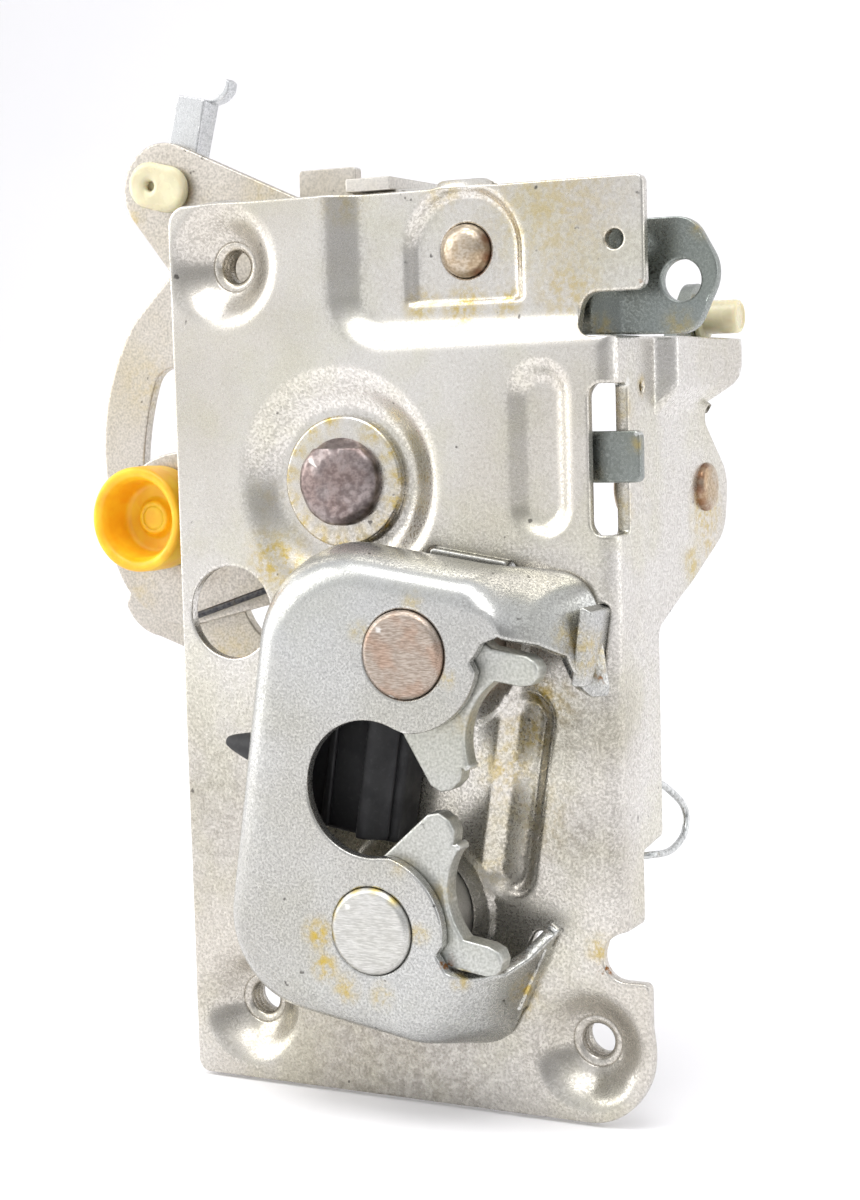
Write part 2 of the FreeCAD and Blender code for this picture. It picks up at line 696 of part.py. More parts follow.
def make_spindle(label, sense):
    """Spindle: front journal, hub in the face plate and rear shank with its peened end."""
    body = new_body(label)
    tilt_to_mouth(body)
    centre = (0, -sense * dim("PivotOffset"))
    hub_front = "Dims.ClawThickness - Dims.ClawFront"
    pad(body, "front", "-Dims.CoverRise - 0.9", "Dims.CoverRise + 0.9 + 1", (*centre, "Dims.JournalRadius"))
    pad(body, "front", hub_front, "Dims.ClawFront - Dims.ClawThickness + 1.9", (*centre, "Dims.HubRadius"))
    pad(body, "front", "1.5", "Dims.PawlFront + 0.9", (*centre, "Dims.ShankRadius"))
    round_edges(body, "Chamfer", 0.45, at_level(-dim("CoverRise") - 0.9))
    return body


def make_ratchet(label, sense):
    """Ratchet disc on the spindle's shank, with the notch that the pawl's tooth falls into."""
    body = new_body(label)
    tilt_to_mouth(body)
    centre = (0, -sense * dim("PivotOffset"))
    radius = dim("RatchetRadius")

    def rim(degrees, distance=radius):
        return polar(centre, distance, sense * degrees)

    outline = path(
        rim(-150), (rim(-60), rim(20)), (rim(70), rim(118)), rim(118, radius - 4.2),
        (rim(150, radius - 4.2), rim(182, radius - 4.2)),
    )
    pad(body, "front", "Dims.PawlFront", "Dims.LeverThickness", outline)
    pocket(body, "front", "Dims.PawlFront - 1", "5", (*centre, "Dims.ShankRadius"))
    return body


def make_stud_spring():
    """Spring of the pawl and handle lever: an open turn round the spool and its long leg."""
    coil_radius = 10.4
    level = dim("PawlFront") + dim("LeverThickness") + 1.8
    toe = (-6.5, 71.6)
    reach = math.dist(MAIN_STUD, toe)
    heading = math.atan2(toe[1] - MAIN_STUD[1], toe[0] - MAIN_STUD[0])
    heel = math.degrees(heading + math.acos(coil_radius / reach))
    turn_start, turn_middle, turn_end = [
        Vector(x, level, z)
        for x, z in (polar(MAIN_STUD, coil_radius, heel + sweep) for sweep in (0, 150, 300))
    ]
    start = Vector(toe[0], level, toe[1])
    leg = Part.LineSegment(start, turn_start).toShape()
    turn = Part.Arc(turn_start, turn_middle, turn_end).toShape()
    wire = sweep_round(Part.Wire([leg, turn]), start, leg, dim("SpringWire") / 2)
    return place_shape("stud_spring", wire)


def make_claw_spring(label, pivot):
    """Torsion spring that opens a claw, wound on the spindle's shank behind the plate."""
    first = 2.4
    radius = 6.6
    wire = 0.6
    coil = coil_along("y", pivot, first, 7.2, radius, wire)
    heel = polar(pivot, radius, 180)
    leg = Part.makeCylinder(wire, 11, Vector(heel[0], first + 2.2, heel[1]), Vector(0, 0, -1))
    return place_shape(label, coil.fuse(leg))


# ---------------------------------------------------------------- levers

def make_pawl():
    """Rocking pawl bar on the main stud with a tooth for each ratchet."""
    body = new_body("pawl")
    bar = rounded(
        (18.6, 101.0, 7), (39.0, 101.0, 8), (35.6, 84.0, 5), (33.0, 73.0, 2),
        (33.2, 66.0, 1), (29.6, 62.4, 2), (25.6, 38.0, 2), (27.3, 33.6, 1),
        (26.8, 25.0, 1.5), (20.0, 22.0, 3), (18.4, 46.0, 8),
    )
    pad(body, "front", "Dims.PawlFront", "Dims.LeverThickness", bar)
    tail = rounded((30.0, 98.0, 0), (38.0, 94.0, 0), (44.4, 103.6, 2.5), (37.2, 108.8, 2.5))
    pad(body, "front", "Dims.PawlFront", "Dims.LeverThickness", tail)
    clearance = "Dims.MainStudRadius + Dims.RunningClearance"
    pocket(body, "front", "Dims.PawlFront - 1", "5", (*MAIN_STUD, clearance))
    return body


def make_lock_tab_lever():
    """Lock lever whose cranked tab stands out through the flange's window."""
    body = new_body("lock_tab_lever")
    arm = round_lever([(*MAIN_STUD, 9.4), (62.0, 97.2, 3.7), (62.0, 97.5, 3.7)])
    pad(body, "front", "Dims.TabLeverFront", "Dims.LeverThickness", arm)
    strip = rounded((60.0, 93.6, 0), (68.8, 93.6, 0), (68.8, 101.0, 0), (60.0, 101.0, 0))
    pad(body, "front", "Dims.TabLeverFront", "Dims.LeverThickness", strip)
    crank = rounded(
        (66.4, 5.4, 0.6), (68.4, 3.4, 0.6), (76.2, 3.4, 0.3), (76.2, 5.4, 0.3),
        (69.2, 5.4, 0.4), (67.2, 7.4, 0.4), (64.0, 7.4, 0), (64.0, 5.4, 0),
    )
    pad(body, "top", "93.6", "7.4", crank)
    pocket(body, "front", "2.4", "3.0", rounded((60, 92, 0), (66.2, 92, 0), (66.2, 103, 0), (60, 103, 0)))
    clearance = "Dims.MainStudRadius + Dims.RunningClearance"
    pocket(body, "front", "Dims.TabLeverFront - 1", "4.5", (*MAIN_STUD, clearance))
    return body


def make_inner_release_lever():
    """Inner release lever on the top pin, cranked where it passes the flange."""
    body = new_body("inner_release_lever")
    front = dim("ReleaseLeverFront")
    crank = front + dim("ReleaseJoggle")
    inner_part = rounded(
        (39.6, 134.6, 8), (39.6, 118.6, 7), (58.0, 114.8, 10), (66.6, 114.8, 0),
        (66.6, 131.6, 0), (58.0, 134.6, 6),
    )
    pad(body, "front", "Dims.ReleaseLeverFront", "Dims.LeverThickness", inner_part)
    outer_part = rounded(
        (71.6, 114.8, 0), (82.6, 114.6, 3.6), (86.6, 123.4, 5), (82.2, 131.4, 4.4), (71.6, 131.4, 0),
    )
    pad(body, "front", "Dims.ReleaseLeverFront + Dims.ReleaseJoggle", "Dims.LeverThickness", outer_part)
    bend = rounded(
        (66.0, front, 0), (67.6, front, 0.6), (70.6, crank, 0.6), (72.2, crank, 0),
        (72.2, crank + 2, 0), (69.8, crank + 2, 0.6), (66.8, front + 2, 0.6), (66.0, front + 2, 0),
    )
    pad(body, "top", "114.8", "16.6", bend)
    tongue = round_lever([(*TOP_PIN, 8.0), (40.5, 116.0, 3.0), (41.5, 114.5, 3.0)])
    pad(body, "front", "Dims.ReleaseLeverFront", "Dims.LeverThickness", tongue)
    clearance = "Dims.TopPinRadius + Dims.RunningClearance"
    pocket(body, "front", "Dims.ReleaseLeverFront - 1", "5", (*TOP_PIN, clearance))
    rod_hole = (dim("RodHoleX"), dim("RodHoleZ"), "Dims.RodHoleRadius")
    pocket(body, "front", "Dims.ReleaseLeverFront", "8", rod_hole)
    return body


def make_outer_handle_lever():
    """Outer handle lever on the main stud, with a round pad that carries the roller."""
    body = new_body("outer_handle_lever")
    arm = round_lever([(*MAIN_STUD, 10.5), (-8.4, 84.6, 14.2), (27.0, 88.0, 9.0)])
    pad(body, "front", "Dims.HandleLeverFront", "Dims.LeverThickness", arm)
    clearance = "Dims.MainStudRadius + Dims.RunningClearance"
    level = "Dims.HandleLeverFront - 1"
    pocket(body, "front", level, "5", (*MAIN_STUD, clearance), (*ROLLER, "Dims.RivetRadius + 0.5"))
    return body


def make_handle_roller():
    """Cup-shaped plastic roller that the outer handle pushes."""
    body = new_body("handle_roller")
    level = "Dims.HandleLeverFront - Dims.RollerLength - 0.2"
    pad(body, "front", level, "Dims.RollerLength", (*ROLLER, "Dims.RollerRadius"))
    pocket(body, "front", level, "Dims.RollerLength - 1.6", (*ROLLER, "Dims.RollerBoreRadius"))
    bore = "Dims.RivetRadius + Dims.RunningClearance"
    pocket(body, "front", level, "Dims.RollerLength + 1", (*ROLLER, bore))
    return body


def make_roller_rivet():
    """Shouldered rivet that the roller turns on."""
    body = new_body("roller_rivet")
    floor = "Dims.HandleLeverFront - 1.8"
    pad(body, "front", floor + " - 1.1", "1.0", (*ROLLER, "Dims.RivetRadius + 1.0"))
    pad(body, "front", floor + " - 0.6", "2.6", (*ROLLER, "Dims.RivetRadius"))
    shoulder = (*ROLLER, "Dims.RivetRadius + 0.5")
    pad(body, "front", "Dims.HandleLeverFront", "Dims.LeverThickness + 0.2", shoulder)
    return body


def make_slotted_lever():
    """Curved lock link with a long arc slot, behind the outer handle lever."""
    body = new_body("slotted_lock_lever")
    outer = path(
        (20.0, 103.4), (-3.0, 129.6), ((-7.6, 130.6), (-11.2, 126.6)),
        ((-24.9, 98.0), (-22.9, 76.2)), ((-18.6, 70.0), (-11.4, 68.6)),
        (3.6, 61.4), ((9.6, 61.6), (9.4, 66.4)), ((-1.6, 72.6), (2.2, 80.4)),
        (22.0, 85.8), ((39.6, 94.2), (20.0, 103.4)),
    )
    pad(body, "front", "Dims.SlottedLeverFront", "Dims.LeverThickness", outer)
    clearance = "Dims.MainStudRadius + Dims.RunningClearance"
    level = "Dims.SlottedLeverFront - 1"
    slot = arc_slot(MAIN_STUD, 41.7, 4.2, 160.0, 208.0)
    pocket(body, "front", level, "5", (*MAIN_STUD, clearance), slot)
    return body


def make_lock_arm():
    """Three-cornered lock arm on the main stud with the rod clip at its upper end."""
    body = new_body("lock_arm")
    outline = round_lever([(*MAIN_STUD, 11), (31.0, 124.0, 6), (-12.9, 141.9, 7.7)])
    pad(body, "front", "Dims.LockArmFront", "Dims.LeverThickness", outline)
    clearance = "Dims.MainStudRadius + Dims.RunningClearance"
    level = "Dims.LockArmFront - 1"
    clip_hole = slot_outline((-14.6, 142.6), (-10.6, 141.6), 2.0)
    pocket(body, "front", level, "5", (*MAIN_STUD, clearance), clip_hole)
    return body


def make_rod_clip():
    """Snap-in plastic clip that holds the sill-button rod in the lock arm."""
    body = new_body("rod_clip")
    pad(body, "front", "Dims.LockArmFront - 1.8", "1.8", slot_outline((-15.2, 142.8), (-10.4, 141.5), 3.5))
    pad(body, "front", "Dims.LockArmFront", "3.4", slot_outline((-14.6, 142.6), (-10.6, 141.6), 1.95))
    slit = slot_outline((-15.4, 142.4), (-14.6, 144.0), 0.5)
    pocket(body, "front", "Dims.LockArmFront - 2", "1.6", slit)
    return body


def make_rod_spring_clip():
    """Sheet clip behind the lock arm: an upright strip, a side wall and a curled end."""
    body = new_body("rod_spring_clip")
    level = "Dims.LockArmFront + Dims.LeverThickness"
    strip = rounded((-13.8, 146.2, 0.5), (-8.0, 145.0, 0.5), (-5.2, 156.2, 0.4), (-10.6, 157.4, 0.4))
    pad(body, "front", level, "0.9", strip)
    wall = rounded((-8.6, 147.6, 0), (-7.5, 147.4, 0), (-5.2, 156.2, 0), (-6.2, 156.4, 0))
    pad(body, "front", level, "4.6", wall)
    curl = path(
        (-6.2, 156.0), (-5.2, 155.6), ((-2.6, 156.6), (-1.2, 159.8)), ((-2.2, 158.0), (-3.4, 157.2)),
    )
    pad(body, "front", level + " + 2.2", "2.4", curl)
    return body


def make_side_lever():
    """Side lever inside the flange, on the side rivet, with the rod pin at its upper end."""
    body = new_body("side_lever")
    level = "Dims.FlangeOuterX - Dims.SheetThickness - 2.5"
    heel = round_lever([(30.4, 80.5, 3.8), (*SIDE_RIVET, 7.6), (30.4, 100.5, 4.4)])
    waist = round_lever([(30.4, 100.5, 4.4), (31.0, 107.6, 4.4)])
    toe = round_lever([(31.0, 107.6, 4.4), (43.6, 118.0, 5.4)])
    for outline in (heel, waist, toe):
        pad(body, "side", level, "2.2", outline)
    clearance = "Dims.SideRivetRadius + Dims.RunningClearance"
    pocket(body, "side", level + " - 1", "5", (*SIDE_RIVET, clearance))
    return body


def make_rod_pin():
    """Plastic pin on the side lever that the inner handle's rod snaps on to."""
    body = new_body("rod_pin_bush")
    centre = (43.6, 118.0)
    level = "Dims.FlangeOuterX - Dims.SheetThickness - 0.3"
    pad(body, "side", level, "6.8", (*centre, "Dims.RodPinRadius"))
    pad(body, "side", level, "1.0", (*centre, "Dims.RodPinRadius + 1.2"))
    return body


# ---------------------------------------------------------------- assembly

make_face_plate()
make_claw_cover()
make_rubber_buffer()
make_main_stud()
make_top_pin()
make_rear_bracket()
make_side_rivet()
make_side_spring()
make_ring("main_stud_washer", MAIN_STUD, "Dims.DishDepth - 1.6", "1.6",
          "Dims.StudWasherRadius", "Dims.MainStudRadius + 0.02")
make_ring("spring_spool", MAIN_STUD, "Dims.PawlFront + Dims.LeverThickness + 0.1", "3.5",
          "9.8", "Dims.MainStudRadius + 0.02")
make_ring("release_lever_spacer", TOP_PIN, "Dims.StepDepth + Dims.PadDepth + Dims.SheetThickness + 0.05",
          "0.5", "7", "Dims.TopPinRadius + 0.02")
make_retaining_ring("main_stud_ring", MAIN_STUD, "8.2", "Dims.MainStudRadius - 0.98")
make_retaining_ring("top_pin_ring", TOP_PIN, "6.8", "Dims.TopPinRadius - 0.78")
for side, sense in (("upper", -1), ("lower", 1)):
    make_claw(side + "_claw", sense)
    make_spindle(side + "_claw_spindle", sense)
    make_ratchet(side + "_ratchet", sense)
make_stud_spring()
make_claw_spring("upper_claw_spring", UPPER_PIVOT)
make_claw_spring("lower_claw_spring", LOWER_PIVOT)
make_pawl()
make_lock_tab_lever()
make_inner_release_lever()
make_outer_handle_lever()
make_handle_roller()
make_roller_rivet()
make_slotted_lever()
make_lock_arm()
make_rod_clip()
make_rod_spring_clip()
make_side_lever()
make_rod_pin()

doc.recompute()
for item in doc.Objects:
    if "Invalid" in item.State or "Error" in item.State:
        raise RuntimeError("%s failed: %s" % (item.Label, item.State))
os.makedirs("parts", exist_ok=True)
for node in nodes:
    if node.Shape.isNull() or not node.Shape.isValid():
        raise RuntimeError("%s has no valid shape" % node.Label)
    node.Shape.exportStep("parts/%s.step" % node.Label)
    print("%-24s %9.1f mm3  %d solid(s)" % (node.Label, node.Shape.Volume, len(node.Shape.Solids)))
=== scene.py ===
import math

import bpy
import numpy as np
from mathutils import Matrix, Vector
from mathutils.geometry import delaunay_2d_cdt
from mathutils.kdtree import KDTree


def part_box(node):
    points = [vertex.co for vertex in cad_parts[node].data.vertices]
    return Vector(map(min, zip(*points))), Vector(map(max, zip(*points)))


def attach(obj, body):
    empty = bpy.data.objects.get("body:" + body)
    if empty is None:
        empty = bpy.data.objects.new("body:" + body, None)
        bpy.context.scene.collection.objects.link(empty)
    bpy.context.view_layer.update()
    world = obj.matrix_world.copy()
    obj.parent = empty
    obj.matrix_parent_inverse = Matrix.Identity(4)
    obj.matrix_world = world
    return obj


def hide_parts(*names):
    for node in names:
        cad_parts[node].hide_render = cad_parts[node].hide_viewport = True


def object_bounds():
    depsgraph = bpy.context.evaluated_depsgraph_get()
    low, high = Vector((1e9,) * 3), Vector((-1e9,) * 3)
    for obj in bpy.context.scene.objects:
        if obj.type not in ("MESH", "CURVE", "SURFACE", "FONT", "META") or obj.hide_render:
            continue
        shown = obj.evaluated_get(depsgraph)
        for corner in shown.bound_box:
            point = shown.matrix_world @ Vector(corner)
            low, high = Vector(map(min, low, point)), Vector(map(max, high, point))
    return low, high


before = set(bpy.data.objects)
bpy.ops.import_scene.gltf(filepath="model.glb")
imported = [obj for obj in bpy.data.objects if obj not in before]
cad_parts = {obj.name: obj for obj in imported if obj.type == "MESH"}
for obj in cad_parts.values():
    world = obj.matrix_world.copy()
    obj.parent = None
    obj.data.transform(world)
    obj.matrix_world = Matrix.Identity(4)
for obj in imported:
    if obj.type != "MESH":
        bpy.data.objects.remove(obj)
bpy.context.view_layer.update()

# Everything below is in millimetres on the face plate's datum: x from its left edge, z from
# its lower edge, y from its front face with +y behind it.
PLATE_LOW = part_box("face_plate")[0]
DATUM = np.array([PLATE_LOW.x, 0.0, PLATE_LOW.z])
MM = 0.001
SHEET = 2.0
EDGE = 0.28


# ------------------------------------------------------------------ outlines

def arc(centre, radius, first, last, step=0.5):
    """Points on an arc, in degrees from +x towards +z."""
    count = max(3, math.ceil(abs(math.radians(last - first)) * radius / step) + 1)
    angles = np.radians(np.linspace(first, last, count))
    return np.column_stack([centre[0] + radius * np.cos(angles), centre[1] + radius * np.sin(angles)])


def circle(centre, radius, step=0.5):
    """Closed circle, counter-clockwise."""
    return arc(centre, radius, 0, 360, step)[:-1]


def divided(points, step):
    """Closed polyline with no edge longer than step."""
    out = []
    for here, there in zip(points, np.roll(points, -1, axis=0)):
        count = max(1, math.ceil(math.dist(here, there) / step))
        for share in np.arange(count) / count:
            out.append(here + (there - here) * share)
    return np.array(out)


def rounded(corners, step=0.6):
    """Closed polygon of (x, z, corner radius) with arcs in its corners."""
    points = []
    count = len(corners)
    for index, (x, z, radius) in enumerate(corners):
        corner = np.array([x, z], float)
        if radius == 0:
            points.append(corner)
            continue
        before = np.array(corners[index - 1][:2]) - corner
        after = np.array(corners[(index + 1) % count][:2]) - corner
        before /= np.linalg.norm(before)
        after /= np.linalg.norm(after)
        half = math.acos(np.clip(before @ after, -1, 1)) / 2
        inward = (before + after) / np.linalg.norm(before + after)
        centre = corner + inward * radius / math.sin(half)
        start = corner + before * radius / math.tan(half) - centre
        end = corner + after * radius / math.tan(half) - centre
        first = math.degrees(math.atan2(start[1], start[0]))
        turn = (math.degrees(math.atan2(end[1], end[0])) - first + 180) % 360 - 180
        points.extend(arc(centre, radius, first, first + turn, min(step, max(0.15, radius / 4))))
    return divided(np.array(points), step)


def rectangle(low, high, radius, step=0.6):
    """Closed rectangle between two corners, with rounded corners."""
    (x0, z0), (x1, z1) = low, high
    return rounded([(x0, z0, radius), (x1, z0, radius), (x1, z1, radius), (x0, z1, radius)], step)


def slot(start, end, radius, step=0.5):
    """Closed slot with round ends between two centres."""
    heading = math.degrees(math.atan2(end[1] - start[1], end[0] - start[0]))
    points = np.vstack([
        arc(start, radius, heading + 90, heading + 270, step),
        arc(end, radius, heading - 90, heading + 90, step),
    ])
    return divided(points, step)


def arc_slot(centre, radius, half_width, first, last):
    """Closed slot bent round a centre."""
    start = (centre[0] + radius * math.cos(math.radians(first)),
        centre[1] + radius * math.sin(math.radians(first)))
    end = (centre[0] + radius * math.cos(math.radians(last)),
        centre[1] + radius * math.sin(math.radians(last)))
    return np.vstack([
        arc(centre, radius + half_width, first, last),
        arc(end, half_width, last, last + 180)[1:-1],
        arc(centre, radius - half_width, last, first),
        arc(start, half_width, first + 180, first + 360)[1:-1],
    ])


def hull(ends, step=0.6):
    """Lever outline: tangent hull of circles (x, z, radius) given counter-clockwise."""
    count = len(ends)
    spans = []
    for index in range(count):
        x0, z0, r0 = ends[index]
        x1, z1, r1 = ends[(index + 1) % count]
        heading = math.degrees(math.atan2(z1 - z0, x1 - x0))
        spans.append(heading - math.degrees(math.acos((r0 - r1) / math.hypot(x1 - x0, z1 - z0))))
    points = []
    for index, (x, z, radius) in enumerate(ends):
        first = spans[index - 1]
        last = first + (spans[index] - first) % 360
        points.extend(arc((x, z), radius, first, last, step))
    return divided(np.array(points), step)


def area(points):
    """Signed area of a closed polyline."""
    x, z = points.T
    return 0.5 * np.sum(x * np.roll(z, -1) - np.roll(x, -1) * z)


def inset(points, distance):
    """Closed polyline moved inwards, whatever its sense, by a small distance."""
    back = points - np.roll(points, 1, axis=0)
    ahead = np.roll(points, -1, axis=0) - points
    back /= np.linalg.norm(back, axis=1)[:, None] + 1e-9
    ahead /= np.linalg.norm(ahead, axis=1)[:, None] + 1e-9
    along = back + ahead
    along /= np.linalg.norm(along, axis=1)[:, None] + 1e-9
    left = np.column_stack([-along[:, 1], along[:, 0]])
    stretch = 1 / np.clip(np.sum(along * back, axis=1), 0.6, 1)
    sense = 1 if area(points) > 0 else -1
    return points + left * (sense * distance * stretch)[:, None]


def inside(points, polygon):
    """Which points lie inside a closed polygon."""
    x, z = points.T
    result = np.zeros(len(points), bool)
    for (x0, z0), (x1, z1) in zip(polygon, np.roll(polygon, -1, axis=0)):
        if z0 == z1:
            continue
        crosses = ((z0 > z) != (z1 > z)) & (x < (x1 - x0) * (z - z0) / (z1 - z0) + x0)
        result ^= crosses
    return result


def depth_inside(points, polygon):
    """Distance to a closed polyline, positive inside it."""
    best = np.full(len(points), 1e9)
    for here, there in zip(polygon, np.roll(polygon, -1, axis=0)):
        along = there - here
        share = np.clip(((points - here) @ along) / (along @ along + 1e-12), 0, 1)
        gap = points - here - share[:, None] * along
        best = np.minimum(best, np.einsum("ij,ij->i", gap, gap))
    return np.where(inside(points, polygon), 1, -1) * np.sqrt(best)


def smooth(t):
    """Smooth step from 0 to 1."""
    t = np.clip(t, 0, 1)
    return t * t * (3 - 2 * t)


# ------------------------------------------------------------------ mesh parts

def flat_front(y):
    """Lift of a flat front face at one y."""
    return lambda p: np.column_stack([p[:, 0], np.full(len(p), y), p[:, 1]])


def triangulate(outer, holes, spacing, features):
    """Triangles of the region inside outer and outside the holes, with crisp feature lines."""
    loops = [outer] + list(holes)
    lines = loops + list(features)
    fixed = np.vstack(lines)
    edges = []
    offset = 0
    for line in lines:
        count = len(line)
        edges += [(offset + i, offset + (i + 1) % count) for i in range(count)]
        offset += count
    points = fixed
    if spacing:
        low, high = outer.min(0), outer.max(0)
        xs = np.arange(low[0], high[0], spacing)
        zs = np.arange(low[1], high[1], spacing * 0.866)
        grid = np.array([(x + (row % 2) * spacing / 2, z) for row, z in enumerate(zs) for x in xs])
        keep = inside(grid, outer)
        for hole in holes:
            keep &= ~inside(grid, hole)
        grid = grid[keep]
        tree = KDTree(len(fixed))
        for index, (x, z) in enumerate(fixed):
            tree.insert((x, z, 0), index)
        tree.balance()
        clear = [tree.find((x, z, 0))[2] > 0.55 * spacing for x, z in grid]
        points = np.vstack([fixed, grid[clear]])
    verts, _, faces, *_ = delaunay_2d_cdt([Vector(p) for p in points], edges, [], 0, 1e-5)
    verts = np.array([v[:] for v in verts])
    faces = np.array([f for f in faces if len(f) == 3])
    middle = verts[faces].mean(1)
    keep = inside(middle, outer)
    for hole in holes:
        keep &= ~inside(middle, hole)
    faces = faces[keep]
    a, b, c = (verts[faces[:, i]] for i in range(3))
    twice = (b[:, 0] - a[:, 0]) * (c[:, 1] - a[:, 1]) - (b[:, 1] - a[:, 1]) * (c[:, 0] - a[:, 0])
    faces = faces[np.abs(twice) > 1e-9]
    twice = twice[np.abs(twice) > 1e-9]
    faces[twice < 0] = faces[twice < 0][:, ::-1]
    used, inverse = np.unique(faces, return_inverse=True)
    return verts[used], inverse.reshape(-1, 3)


def vertex_normals(verts, faces):
    """Area-weighted unit normals."""
    a, b, c = (verts[faces[:, i]] for i in range(3))
    face = np.cross(b - a, c - a)
    total = np.zeros_like(verts)
    for corner in range(3):
        np.add.at(total, faces[:, corner], face)
    return total / (np.linalg.norm(total, axis=1)[:, None] + 1e-12)


def rims(faces):
    """Directed boundary loops of a triangle set."""
    directed = {}
    for a, b, c in faces.tolist():
        for start, end in ((a, b), (b, c), (c, a)):
            directed[(start, end)] = True
    following = {}
    for a, b in directed:
        if (b, a) not in directed:
            following.setdefault(a, []).append(b)
    loops = []
    while following:
        start = here = next(iter(following))
        loop = []
        while here in following:
            loop.append(here)
            ahead = following[here].pop()
            if not following[here]:
                del following[here]
            here = ahead
            if here == start:
                break
        loops.append(loop)
    return loops


def sheet(outer, holes=(), lift=None, thickness=SHEET, edge=EDGE, spacing=None, features=()):
    """Closed sheet of one thickness with rolled edges: (vertices, faces)."""
    outer = inset(outer, edge)
    holes = [inset(hole, -edge) for hole in holes]
    support = [inset(outer, 0.22)] + [inset(hole, -0.22) for hole in holes]
    plan, faces = triangulate(outer, holes, spacing, support + list(features))
    front = lift(plan)
    normal = vertex_normals(front, faces)
    back = front - normal * thickness
    count = len(front)
    verts = [front, back]
    polygons = faces.tolist() + (faces[:, ::-1] + count).tolist()
    total = 2 * count
    for loop in rims(faces):
        loop = np.array(loop)
        here = front[loop]
        tangent = np.roll(here, -1, axis=0) - np.roll(here, 1, axis=0)
        away = np.cross(tangent, normal[loop])
        away /= np.linalg.norm(away, axis=1)[:, None] + 1e-12
        rings = [loop]
        bend = np.radians([35, 62, 90])
        steps = [(edge * math.sin(a), edge * (1 - math.cos(a))) for a in bend]
        steps += [(out, thickness - down) for out, down in reversed(steps)]
        for out, down in steps:
            verts.append(here + away * out - normal[loop] * down)
            rings.append(np.arange(total, total + len(loop)))
            total += len(loop)
        rings.append(loop + count)
        for upper, lower in zip(rings, rings[1:]):
            after_upper, after_lower = np.roll(upper, -1), np.roll(lower, -1)
            polygons += np.column_stack([upper, lower, after_lower, after_upper]).tolist()
    return np.vstack(verts), polygons


def softened(profile, size):
    """Profile of (radius, level) points with its inner corners cut to short arcs."""
    out = [profile[0]]
    for before, corner, after in zip(profile, profile[1:], profile[2:]):
        before, corner, after = (np.array(p, float) for p in (before, corner, after))
        back, ahead = before - corner, after - corner
        reach = min(size, np.linalg.norm(back) * 0.45, np.linalg.norm(ahead) * 0.45)
        start = corner + back / np.linalg.norm(back) * reach
        end = corner + ahead / np.linalg.norm(ahead) * reach
        for t in (0, 0.33, 0.67, 1):
            out.append(tuple(start * (1 - t) ** 2 + 2 * corner * t * (1 - t) + end * t * t))
    out.append(profile[-1])
    return out


def lathe(profile, centre, axis="y", segments=72, closed=False):
    """Turned part about a line parallel to Y or X: profile of (radius, level)."""
    verts, polygons, rings = [], [], []
    angles = np.linspace(0, 2 * math.pi, segments, endpoint=False)
    for radius, level in profile:
        if radius < 1e-6:
            rings.append([len(verts)])
            verts.append((centre[0], level, centre[1]) if axis == "y" else (level, centre[0], centre[1]))
            continue
        rings.append(list(range(len(verts), len(verts) + segments)))
        for angle in angles:
            across, up = centre[0] + radius * math.cos(angle), centre[1] + radius * math.sin(angle)
            verts.append((across, level, up) if axis == "y" else (level, across, up))
    pairs = list(zip(rings, rings[1:] + rings[:1])) if closed else list(zip(rings, rings[1:]))
    for first, second in pairs:
        for i in range(segments):
            j = (i + 1) % segments
            if len(first) == 1 and len(second) > 1:
                polygons.append([first[0], second[j], second[i]])
            elif len(second) == 1 and len(first) > 1:
                polygons.append([first[i], first[j], second[0]])
            elif len(first) > 1:
                polygons.append([first[i], first[j], second[j], second[i]])
    return np.array(verts, float), polygons


def spline(points, per_span=10):
    """Smooth curve through points."""
    points = np.array(points, float)
    padded = np.vstack([2 * points[0] - points[1], points, 2 * points[-1] - points[-2]])
    out = []
    for i in range(1, len(padded) - 2):
        p0, p1, p2, p3 = padded[i - 1:i + 3]
        for t in np.arange(per_span) / per_span:
            out.append(0.5 * ((2 * p1) + (p2 - p0) * t + (2 * p0 - 5 * p1 + 4 * p2 - p3) * t * t
                              + (3 * p1 - p0 - 3 * p2 + p3) * t ** 3))
    out.append(points[-1])
    return np.array(out)


def tube(path, radius, sides=16):
    """Round wire along a path with domed ends."""
    path = np.array(path, float)
    tangent = np.gradient(path, axis=0)
    tangent /= np.linalg.norm(tangent, axis=1)[:, None]
    side = np.cross(tangent[0], [0.3, 0.5, 0.81])
    side /= np.linalg.norm(side)
    centres, radii, frames = [], [], []
    for index, (point, ahead) in enumerate(zip(path, tangent)):
        side = side - ahead * (side @ ahead)
        side /= np.linalg.norm(side)
        frame_here = (side, np.cross(ahead, side))
        if index == 0:
            for a in (75, 45, 20):
                centres.append(point - ahead * radius * math.sin(math.radians(a)))
                radii.append(radius * math.cos(math.radians(a)))
                frames.append(frame_here)
        centres.append(point)
        radii.append(radius)
        frames.append(frame_here)
        if index == len(path) - 1:
            for a in (20, 45, 75):
                centres.append(point + ahead * radius * math.sin(math.radians(a)))
                radii.append(radius * math.cos(math.radians(a)))
                frames.append(frame_here)
    verts, polygons = [], []
    angles = np.linspace(0, 2 * math.pi, sides, endpoint=False)
    for centre, size, (u, v) in zip(centres, radii, frames):
        verts += [centre + size * (u * math.cos(a) + v * math.sin(a)) for a in angles]
    rings = len(centres)
    for ring in range(rings - 1):
        for i in range(sides):
            j = (i + 1) % sides
            base, after = ring * sides, (ring + 1) * sides
            polygons.append([base + i, base + j, after + j, after + i])
    polygons.append(list(range(sides))[::-1])
    polygons.append([(rings - 1) * sides + i for i in range(sides)])
    return np.array(verts), polygons


